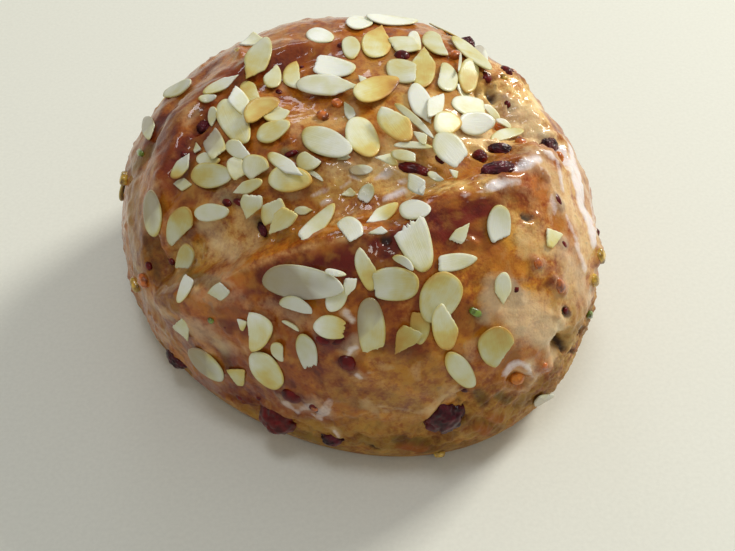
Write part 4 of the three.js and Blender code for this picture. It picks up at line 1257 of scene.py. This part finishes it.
def lay(place, draw):
    """Tilts a flake to the plane through what lies under it, and lifts it until it rests there."""
    place = dict(place, curl=draw.uniform(-0.3, 0.9), twist=draw.uniform(-0.4, 0.4))
    normal, middle = place["normal"], place["middle"]
    along, across = half_axes(place, normal)
    x_way = along.normalized()
    y_way = normal.cross(x_way)
    spots = [(x * along.length, y * across.length) for x, y in PROBES]
    heights = np.array([height_under(middle + x_way * x + y_way * y, normal) for x, y in spots])
    table = np.array([(1.0, x, y) for x, y in spots])
    (lift, tip, roll), *_ = np.linalg.lstsq(table, heights, rcond=None)
    tip, roll = max(-STEEPEST, min(STEEPEST, tip)), max(-STEEPEST, min(STEEPEST, roll))
    over = heights - table @ np.array([lift, tip, roll])
    rest = lift + SETTLED * max(over.max(), 0) + 0.4 * THICKNESS + max(-place["curl"], 0)
    tilted = (normal - x_way * tip - y_way * roll).normalized()
    middle = middle - place["sight"] * (rest / max(-place["sight"].dot(normal), 0.45))
    along, across = half_axes(place, tilted)
    laid = dict(place, middle=middle, normal=tilted, along=along, across=across,
                per_along=across.cross(tilted) / along.dot(across.cross(tilted)),
                per_across=tilted.cross(along) / across.dot(tilted.cross(along)))
    laid_flakes.append(laid)
    return laid


print("each flake is laid on", len(PROBES), "probes")

# %% [markdown]
# ## Slicing an almond
#
# A slice of almond is an egg in outline, flat on both faces, with an edge that the blade left
# slightly round. That is a ball, squashed: powers under 1 flatten its poles and square its side.
# Slices are brittle. A break is a straight cut, given by its direction, in degrees from the second
# end, and its distance from the middle. Cuts take a bite out of the egg, and what is left is
# stretched again to the size that was read.

# %% Slicing an almond
SIDES, RINGS = 40, 6
BREAKS = {
    "whole": (), "end": ((4, 0.6),), "start": ((176, 0.6),), "slant": ((12, 0.5),), "corner": ((48, 0.6),),
    "deep corner": ((40, 0.62),), "corner start": ((132, 0.6),), "half": ((-90, 0.12),),
    "pointed": ((36, 0.66), (-36, 0.66)), "pointed start": ((144, 0.66), (216, 0.66)),
    "wedge": ((30, 0.36), (-32, 0.33), (184, 0.55)), "wedge start": ((150, 0.36), (213, 0.33), (5, 0.55)),
    "both": ((10, 0.5), (192, 0.52)), "chip": ((12, 0.5), (128, 0.62), (226, 0.5)), "sawn": ((0, 0.66),),
    "split end": ((-78, 0.3), (8, 0.6)), "sawn start": ((186, 0.3),),
}
TEETH = {"sawn": 0.05, "sawn start": 0.05}  # how far a break is toothed, as a share of the half length
SMALL_TEETH = 0.014


def rim_of(shape, draw):
    """The outline of a slice, two long and two wide, where it is whole, and the egg's own middle."""
    angles = np.arange(SIDES) * 2 * math.pi / SIDES
    wave, taper = draw.uniform(0, 6.3), draw.uniform(0.05, 0.22)
    whole = 1 + 0.03 * np.sin(2 * angles + wave) + 0.015 * np.sin(5 * angles + 2 * wave)
    reach = whole
    for toward, depth in BREAKS[shape]:
        teeth = TEETH.get(shape, SMALL_TEETH) * (np.sin(9.5 * angles + wave) + 0.7 * np.sin(17 * angles))
        facing = np.cos(angles - math.radians(toward))
        reach = np.minimum(reach, (depth + teeth) / np.maximum(facing, 0.05))
    x, y = reach * np.cos(angles), reach * np.sin(angles) * (1 - taper * reach * np.cos(angles))
    unbroken = reach > 0.97 * whole
    middle = [-(axis.max() + axis.min()) / (axis.max() - axis.min()) for axis in (x, y)]
    x, y = [(2 * axis - axis.max() - axis.min()) / (axis.max() - axis.min()) for axis in (x, y)]
    return np.stack([x, y], axis=-1), unbroken, np.array(middle)


def slice_almond(bm, laid, draw):
    """One flake, shaped at the origin and carried to where it lies. `draw` gives its whims."""
    already = len(bm.verts)
    bm.from_mesh(blank_slice)
    bm.verts.ensure_lookup_table()
    layer = {name: bm.verts.layers.float[name] for name in FLAKE_LAYERS}
    rim, unbroken, centre = rim_of(laid["shape"], draw)
    own = draw.random()
    for vert in bm.verts[already:]:
        reach = math.hypot(vert.co.x, vert.co.y)
        side = round(math.atan2(vert.co.y, vert.co.x) / (2 * math.pi) * SIDES) % SIDES
        spread = reach ** 0.35 if reach > 0.01 else 0.0
        x, y = centre + spread * (rim[side] - centre)
        z = math.copysign(abs(vert.co.z) ** 0.2, vert.co.z) if reach < 0.999 else 0.0
        vert[layer["toast"]], vert[layer["whim"]] = laid["toast"], own
        vert[layer["slice_x"]], vert[layer["slice_y"]] = x, y
        vert[layer["edge"]] = spread if unbroken[side] else 0.6 * spread
        vert[layer["soaked"]] = max(0.0, min(1.0, 0.9 - 4 * (x + 0.4 * y))) if laid["soaked"] else 0.0
        rise = warped(laid, x, y) + z * THICKNESS / 2
        vert.co = laid["middle"] + laid["along"] * x + laid["across"] * y + laid["normal"] * rise


print("a slice can break in", len(BREAKS) - 1, "ways")

# %% [markdown]
# ## Sliced almond
#
# Blanched almond is ivory and close grained, with a paler heart, and it browns from its edge
# inwards. The blade leaves it matt, and glaze that touched it leaves it damp. The slice's own
# coordinates, kept as attributes, put the fine lines along its length. No two slices have quite
# the same tone, so each has a random number, its whim, which the nodes read too.

# %% Sliced almond
FLAKE_LAYERS = ("toast", "whim", "slice_x", "slice_y", "edge", "soaked")
BLOTCH = 7.7  # millimetres
FIBRE = {"long": 7.8, "wide": 0.397}  # millimetres
APART = 40.0  # how far the whim moves a slice through the noise, so that its lines are its own
TOASTED = ((0.0, "#f4f6e8"), (0.25, "#e6e5ba"), (0.45, "#dfd07c"), (0.65, "#d8b052"), (0.85, "#c68e3a"),
           (1.0, "#8a4f1c"))
SOAKED_COLOUR = "#93826a"
half_long, half_wide = LARGEST_FLAKE["length"] / 2, LARGEST_FLAKE["width"] / 2
fibre_scale = (half_long / FIBRE["long"], half_wide / FIBRE["wide"], APART)

almond, tree = new_finish("sliced_blanched_almond")
place = add(tree, "ShaderNodeTexCoord").outputs["Object"]
cut = {name: add(tree, "ShaderNodeAttribute", attribute_name=name).outputs["Fac"] for name in FLAKE_LAYERS}
on_slice = add(tree, "ShaderNodeCombineXYZ", {"X": cut["slice_x"], "Y": cut["slice_y"], "Z": cut["whim"]})
blotch = add(tree, "ShaderNodeTexNoise", {"Vector": place, "Scale": marks(BLOTCH), "Detail": 4.0})
stretched = add(tree, "ShaderNodeMapping", {"Vector": on_slice.outputs[0], "Scale": fibre_scale})
fibre = add(tree, "ShaderNodeTexNoise", {"Vector": stretched.outputs[0], "Scale": 1.0, "Detail": 4.0})
browned = add(tree, "ShaderNodeMapRange", {"Value": cut["edge"], "From Min": 0.86, "From Max": 1.0,
              "To Max": 0.2})
browned = add(tree, "ShaderNodeMath", {0: cut["toast"], 1: 0.62, 2: browned.outputs[0]},
              operation="MULTIPLY_ADD")
patchy = add(tree, "ShaderNodeMath", {0: blotch.outputs["Fac"], 1: 0.9, 2: -0.45}, operation="MULTIPLY_ADD")
browned = add(tree, "ShaderNodeMath", {0: browned.outputs[0], 1: patchy.outputs[0]}, operation="ADD")
other_end = add(tree, "ShaderNodeMath", {0: cut["whim"], 1: 0.5, 2: -0.25}, operation="MULTIPLY_ADD")
leaning = add(tree, "ShaderNodeMath", {0: cut["slice_x"], 1: other_end.outputs[0]}, operation="MULTIPLY")
browned = add(tree, "ShaderNodeMath", {0: browned.outputs[0], 1: leaning.outputs[0]}, operation="ADD")
lined = add(tree, "ShaderNodeMath", {0: fibre.outputs["Fac"], 1: 0.16, 2: -0.08}, operation="MULTIPLY_ADD")
browned = add(tree, "ShaderNodeMath", {0: browned.outputs[0], 1: lined.outputs[0]}, operation="ADD")
almond_colour = add(tree, "ShaderNodeValToRGB", {"Fac": browned.outputs[0]}, stops=TOASTED)
paler = add(tree, "ShaderNodeValToRGB", {"Fac": cut["whim"]}, stops=((0.0, "#dcdcd8"), (1.0, "#ffffff")))
almond_colour = add(tree, "ShaderNodeMix", {0: 1.0, 6: almond_colour.outputs[0], 7: paler.outputs[0]},
                    data_type="RGBA", blend_type="MULTIPLY")
glassy = add(tree, "ShaderNodeMath", {0: cut["soaked"], 1: 0.72}, operation="MULTIPLY")
almond_colour = add(tree, "ShaderNodeMix", {0: glassy.outputs[0], 6: almond_colour.outputs[2],
                    7: paint(SOAKED_COLOUR)}, data_type="RGBA")
sheen = add(tree, "ShaderNodeMapRange", {"Value": cut["soaked"], "To Min": 0.2, "To Max": 0.8})
bump = add(tree, "ShaderNodeBump", {"Height": fibre.outputs["Fac"], "Strength": 0.2, "Distance": 0.4 * MM})
shader = add(tree, "ShaderNodeBsdfPrincipled", {
    "Base Color": almond_colour.outputs[2], "Roughness": 0.5, "IOR": 1.46, "Normal": bump.outputs[0],
    "Subsurface Weight": 0.2, "Subsurface Radius": (1.0, 0.8, 0.5), "Subsurface Scale": 1.0 * MM,
    "Coat Weight": sheen.outputs[0], "Coat Roughness": 0.12})
add(tree, "ShaderNodeOutputMaterial", {"Surface": shader.outputs[0]})
print(almond.name, "has", len(tree.nodes), "nodes")

# %% [markdown]
# ## Strewing the flakes
#
# All flakes are one mesh. A blank slice is a ball with few rings, copied into that mesh for each
# flake, then cut, warped and laid in turn, so that each one finds the flakes below it.

# %% Strewing the flakes
blank = bmesh.new()
bmesh.ops.create_uvsphere(blank, u_segments=SIDES, v_segments=RINGS, radius=1.0)
settle_order(blank)
blank_slice = bpy.data.meshes.new("blank_slice")
blank.to_mesh(blank_slice)
blank.free()

flakes = bmesh.new()
for layer in FLAKE_LAYERS:
    flakes.verts.layers.float.new(layer)
draw = random.Random(7)
for flake_place in flake_places:
    slice_almond(flakes, lay(flake_place, draw), draw)
bmesh.ops.recalc_face_normals(flakes, faces=flakes.faces)
bpy.data.meshes.remove(blank_slice)
almond_flakes = to_object(flakes, "almond_flakes", almond)

# %% [markdown]
# ## Raisins, cranberries and nuts
#
# Dried fruit is a bag of skin around a little flesh: it folds into ridges along its length. A ball
# of small triangles is squashed to size, and waves that run round it fold its skin. A cranberry
# has fewer, softer folds, and a nut has none. Each lies in the pocket that the CAD model keeps.

# %% Raisins, cranberries and nuts
FOLDS = {"raisin": 0.15, "cranberry": 0.07, "nut": 0.0}  # depth of the folds, as a share of the half width
LARGEST_FRUIT = 15.0  # millimetres
BLOOM, WRINKLE = 3.33, 1.11  # millimetres from one to the next


def dried_fruit(bm, name, fruit, facets=5):
    """One piece of fruit or nut: a ball that is folded, squashed and carried to its place."""
    kind = name.split("_")[0]
    place = place_of(fruit["at"])
    long = min(place["length"], LARGEST_FRUIT) / 2
    wide = min(place["width"], LARGEST_FRUIT, 2.2 * long) / 2
    tall = wide * fruit["tall"]
    carry = basis(place, -fruit["sunk"] * tall)
    ball = bmesh.ops.create_icosphere(bm, subdivisions=facets, radius=1.0)
    for vert in ball["verts"]:
        p = vert.co.copy()
        warp = noise.fractal(p * 1.4 + place["middle"], 1.0, 2.0, 3)
        dents = noise.fractal(p * 3.2 + place["middle"], 1.0, 2.0, 2)
        around = math.atan2(p.z, p.y)
        ridge = abs(math.sin(2.5 * around + 2.6 * warp + 1.4 * p.x)) ** 0.7
        shrink = FOLDS[kind] * (ridge - 0.7) + 0.09 * warp + 0.5 * FOLDS[kind] * dents
        p *= 1 + shrink
        vert.co = carry @ Vector((p.x * long, p.y * wide, p.z * tall))


def fruit_finish(name, skin, deep, scatter):
    """Dried fruit under glaze: dark flesh that light enters, and a wet coat over it."""
    finish, tree = new_finish(name)
    place = add(tree, "ShaderNodeTexCoord").outputs["Object"]
    bloom = add(tree, "ShaderNodeTexNoise", {"Vector": place, "Scale": marks(BLOOM), "Detail": 4.0})
    wrinkle = add(tree, "ShaderNodeTexNoise", {"Vector": place, "Scale": marks(WRINKLE), "Detail": 3.0})
    colour = add(tree, "ShaderNodeValToRGB", {"Fac": bloom.outputs["Fac"]},
                 stops=((0.38, deep), (0.62, skin)))
    bump = add(tree, "ShaderNodeBump", {"Height": bloom.outputs["Fac"], "Strength": 0.15,
               "Distance": 0.5 * MM})
    bump = add(tree, "ShaderNodeBump", {"Height": wrinkle.outputs["Fac"], "Strength": 0.15,
               "Distance": 0.2 * MM, "Normal": bump.outputs[0]})
    shader = add(tree, "ShaderNodeBsdfPrincipled", {
        "Base Color": colour.outputs[0], "Roughness": 0.45, "IOR": 1.35, "Normal": bump.outputs[0],
        "Specular IOR Level": 0.2, "Subsurface Weight": scatter, "Subsurface Radius": (1.0, 0.25, 0.15),
        "Subsurface Scale": 1.0 * MM, "Coat Weight": 0.5, "Coat Roughness": 0.04, "Coat IOR": 1.4})
    add(tree, "ShaderNodeOutputMaterial", {"Surface": shader.outputs[0]})
    print(name, "has", len(tree.nodes), "nodes")
    return finish


FRUIT_FINISH = {
    "raisin": fruit_finish("glazed_raisin", "#5c1320", "#290a11", 0.15),
    "cranberry": fruit_finish("glazed_dried_cranberry", "#6e0f0e", "#440809", 0.25),
    "nut": fruit_finish("toasted_hazelnut", "#d6832f", "#9c4f1a", 0.15),
}
PLURAL = {"raisin": "raisins", "cranberry": "cranberries", "nut": "nuts"}
for kind, finish in FRUIT_FINISH.items():
    names = [name for name in FRUIT if name.startswith(kind)]
    bm = bmesh.new()
    for name in names:
        dried_fruit(bm, name, FRUIT[name])
    piece = to_object(bm, PLURAL[kind], finish)
    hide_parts(*names)

# %% [markdown]
# ## Torn bits of berry
#
# Kneading tears some of the cranberries, and their bits show all over the crust, no larger than a
# lentil. They are folded like the whole ones, lie half sunk, and some have stained the dough round
# them.

# %% Torn bits of berry
BERRY_BITS = (
    (222, 201, 232, 204, 8), (233, 199, 243, 204, 9), (169, 258, 174, 265, 5), (284, 156, 298, 151, 6),
    (314, 337, 332, 343, 11), (330, 344, 347, 338, 8), (339, 356, 355, 368, 15), (281, 394, 303, 397, 13),
    (311, 400, 318, 412, 10), (553, 192, 560, 208, 8), (513, 284, 518, 294, 9), (549, 276, 552, 283, 4),
    (564, 308, 568, 314, 5), (435, 155, 444, 164, 8), (276, 90, 281, 94, 6), (338, 44, 343, 47, 6),
    (483, 72, 489, 82, 8), (504, 64, 512, 75, 8), (505, 100, 509, 107, 5), (206, 132, 210, 138, 4),
    (394, 54, 410, 58, 11), (236, 395, 244, 399, 5), (224, 322, 229, 330, 7), (461, 388, 468, 392, 5),
    (404, 160, 412, 163, 6), (181, 151, 184, 157, 5), (559, 241, 567, 247, 6), (256, 396, 262, 400, 4),
    (146, 262, 151, 270, 5), (330, 57, 336, 60, 5), (300, 66, 305, 70, 5), (610, 228, 613, 236, 5),
)
BIT = {"tall": 0.8, "sunk": 0.15}
bits = bmesh.new()
for row in BERRY_BITS:
    dried_fruit(bits, "cranberry", dict(BIT, at=row), facets=3)
berry_bits = to_object(bits, "berry_bits", FRUIT_FINISH["cranberry"])

# %% [markdown]
# ## Candied peel
#
# The dough also holds small dice of candied peel: lemon, orange and some green citron. Those at the
# surface show as bright bits, no larger than a lentil. Each is a small ball pushed towards a cube, as
# dice of peel are, half sunk in the crust. A colour attribute tells which fruit it was cut from.

# %% Candied peel
PEEL = {
    "lemon": (
        (121, 168, 127, 188, 8), (134, 277, 141, 290, 9), (604, 252, 612, 262, 8), (236, 49, 242, 55, 6),
        (590, 276, 596, 284, 6), (500, 76, 506, 82, 5), (436, 454, 444, 456, 5),
    ),
    "orange": (
        (141, 276, 150, 284, 9), (515, 141, 525, 145, 7), (538, 362, 550, 370, 9), (494, 127, 508, 133, 7),
        (318, 113, 328, 120, 8), (333, 101, 342, 108, 8), (451, 54, 459, 60, 8), (533, 259, 540, 268, 8),
        (552, 279, 563, 291, 10), (520, 58, 525, 64, 5), (312, 404, 318, 409, 6),
    ),
    "citron": (
        (469, 309, 481, 315, 8), (590, 314, 597, 318, 6), (137, 150, 145, 156, 6), (209, 318, 214, 322, 5),
    ),
}
PEEL_COLOURS = {"lemon": "#e0b83c", "orange": "#d2701c", "citron": "#7d9a35"}
LARGEST_DICE = {"length": 6.0, "width": 4.5, "height": 4.0}  # millimetres
PROUD = 0.1  # how far the middle of a dice stands out, as a share of its width
peel = bmesh.new()
tinted = peel.verts.layers.float_color.new("tint")
for cut_from, rows in PEEL.items():
    for row in rows:
        place = place_of(row)
        carry = basis(place, PROUD * place["width"])
        half = (min(place["length"], LARGEST_DICE["length"]) / 2,
                min(place["width"], LARGEST_DICE["width"]) / 2,
                min(place["width"], LARGEST_DICE["height"]) / 2.2)
        dice = bmesh.ops.create_icosphere(peel, subdivisions=3, radius=1.0)
        for vert in dice["verts"]:
            p = Vector([math.copysign(abs(c) ** 0.7, c) for c in vert.co])
            p *= 1 + 0.12 * noise.fractal(vert.co * 1.7 + place["middle"], 1.0, 2.0, 2)
            vert[tinted] = paint(PEEL_COLOURS[cut_from])
            vert.co = carry @ Vector((p.x * half[0], p.y * half[1], p.z * half[2]))
print(sum(len(rows) for rows in PEEL.values()), "dice of peel")

# %% [markdown]
# ## The finish of the peel
#
# Candied peel has taken up sugar until it is clear, so light enters it, and its skin is shiny and
# finely pitted. Paler pith shows through in flecks. The finish reads each bit's own colour.

# %% The finish of the peel
PITH = 2.22  # millimetres from one fleck to the next

candied, tree = new_finish("candied_citrus_peel")
place = add(tree, "ShaderNodeTexCoord").outputs["Object"]
hue = add(tree, "ShaderNodeAttribute", attribute_name="tint").outputs["Color"]
pith = add(tree, "ShaderNodeTexNoise", {"Vector": place, "Scale": marks(PITH), "Detail": 3.0})
shade = add(tree, "ShaderNodeValToRGB", {"Fac": pith.outputs["Fac"]},
            stops=((0.35, "#8c7a5a"), (0.6, "#ffffff")))
colour = add(tree, "ShaderNodeMix", {0: 1.0, 6: hue, 7: shade.outputs[0]}, data_type="RGBA",
             blend_type="MULTIPLY")
bump = add(tree, "ShaderNodeBump", {"Height": pith.outputs["Fac"], "Strength": 0.4, "Distance": 0.4 * MM})
shader = add(tree, "ShaderNodeBsdfPrincipled", {
    "Base Color": colour.outputs[2], "Roughness": 0.35, "IOR": 1.47, "Normal": bump.outputs[0],
    "Subsurface Weight": 0.3, "Subsurface Radius": (1.0, 0.6, 0.2), "Subsurface Scale": 1.0 * MM,
    "Coat Weight": 0.7, "Coat Roughness": 0.08})
add(tree, "ShaderNodeOutputMaterial", {"Surface": shader.outputs[0]})
peel_bits = to_object(peel, "peel_bits", candied)

# %% [markdown]
# ## The table
#
# The table is matt, plain and pale, so that nothing competes with the loaf. A faint grain keeps it
# from being one flat colour. It is stage scenery and no part of the loaf.

# %% The table
TABLE_GRAIN = 1.43  # millimetres
TABLE_SIZE = 3000.0  # millimetres from its middle to its edge

table_finish, tree = new_finish("pale_tabletop")
place = add(tree, "ShaderNodeTexCoord").outputs["Object"]
speckle = add(tree, "ShaderNodeTexNoise", {"Vector": place, "Scale": marks(TABLE_GRAIN), "Detail": 2.0})
table_colour = add(tree, "ShaderNodeValToRGB", {"Fac": speckle.outputs["Fac"]}, stops=(
    (0.3, "#e5e6da"), (0.7, "#eaebdf")))
shader = add(tree, "ShaderNodeBsdfPrincipled", {"Base Color": table_colour.outputs[0], "Roughness": 0.8})
add(tree, "ShaderNodeOutputMaterial", {"Surface": shader.outputs[0]})

floor_mesh = bmesh.new()
bmesh.ops.create_grid(floor_mesh, x_segments=2, y_segments=2, size=TABLE_SIZE)
floor = to_object(floor_mesh, "table", table_finish)

# %% [markdown]
# ## The light
#
# A tall window stands behind the loaf to the right: an area light, soft because it is large, and
# strong enough to put long highlights on the glaze. The lit ceiling and the back wall are seen in
# the glaze as cooler, fainter patches, and a small doorway in front puts glints on fruit and glaze
# that the window doesn't reach. A pale room all round fills the shadows.

# %% The light
ROOM = {"colour": "#eceae4", "strength": 0.42}
LAMPS = (
    {"name": "window", "at": (1.3, 1.04, 1.1), "aim": 0.04, "size": (0.45, 0.66), "watts": 30.0,
     "colour": "#fffcf4"},
    {"name": "ceiling", "at": (-0.05, -0.1, 1.1), "aim": 0.04, "size": (0.24, 0.24), "watts": 2.0,
     "colour": "#f4f6ff"},
    {"name": "back_wall", "at": (-0.35, 2.0, 0.78), "aim": 0.05, "size": (0.6, 0.4), "watts": 3.2,
     "colour": "#eef2ff"},
    {"name": "doorway", "at": (0.2, -0.6, 0.95), "aim": 0.04, "size": (0.1, 0.1), "watts": 0.4,
     "colour": "#fff8ee"},
)


def soft_light(lamp):
    """An area light, in metres, that looks at a point over the middle of the table."""
    light = bpy.data.lights.new(lamp["name"], "AREA")
    light.shape = "RECTANGLE"
    light.size, light.size_y = lamp["size"]
    light.energy, light.color = lamp["watts"], paint(lamp["colour"])[:3]
    hung = bpy.data.objects.new(lamp["name"], light)
    hung.location = lamp["at"]
    sight = Vector((0, 0, lamp["aim"])) - Vector(lamp["at"])
    hung.rotation_euler = sight.to_track_quat("-Z", "Y").to_euler()
    bpy.context.scene.collection.objects.link(hung)


for lamp in LAMPS:
    soft_light(lamp)
world = bpy.data.worlds.new("pale_room")
bpy.context.scene.world = world
world.use_nodes = True
background = world.node_tree.nodes["Background"]
background.inputs["Color"].default_value = paint(ROOM["colour"])
background.inputs["Strength"].default_value = ROOM["strength"]
bpy.context.scene.view_settings.view_transform = "Standard"
print(len(LAMPS), "lamps")
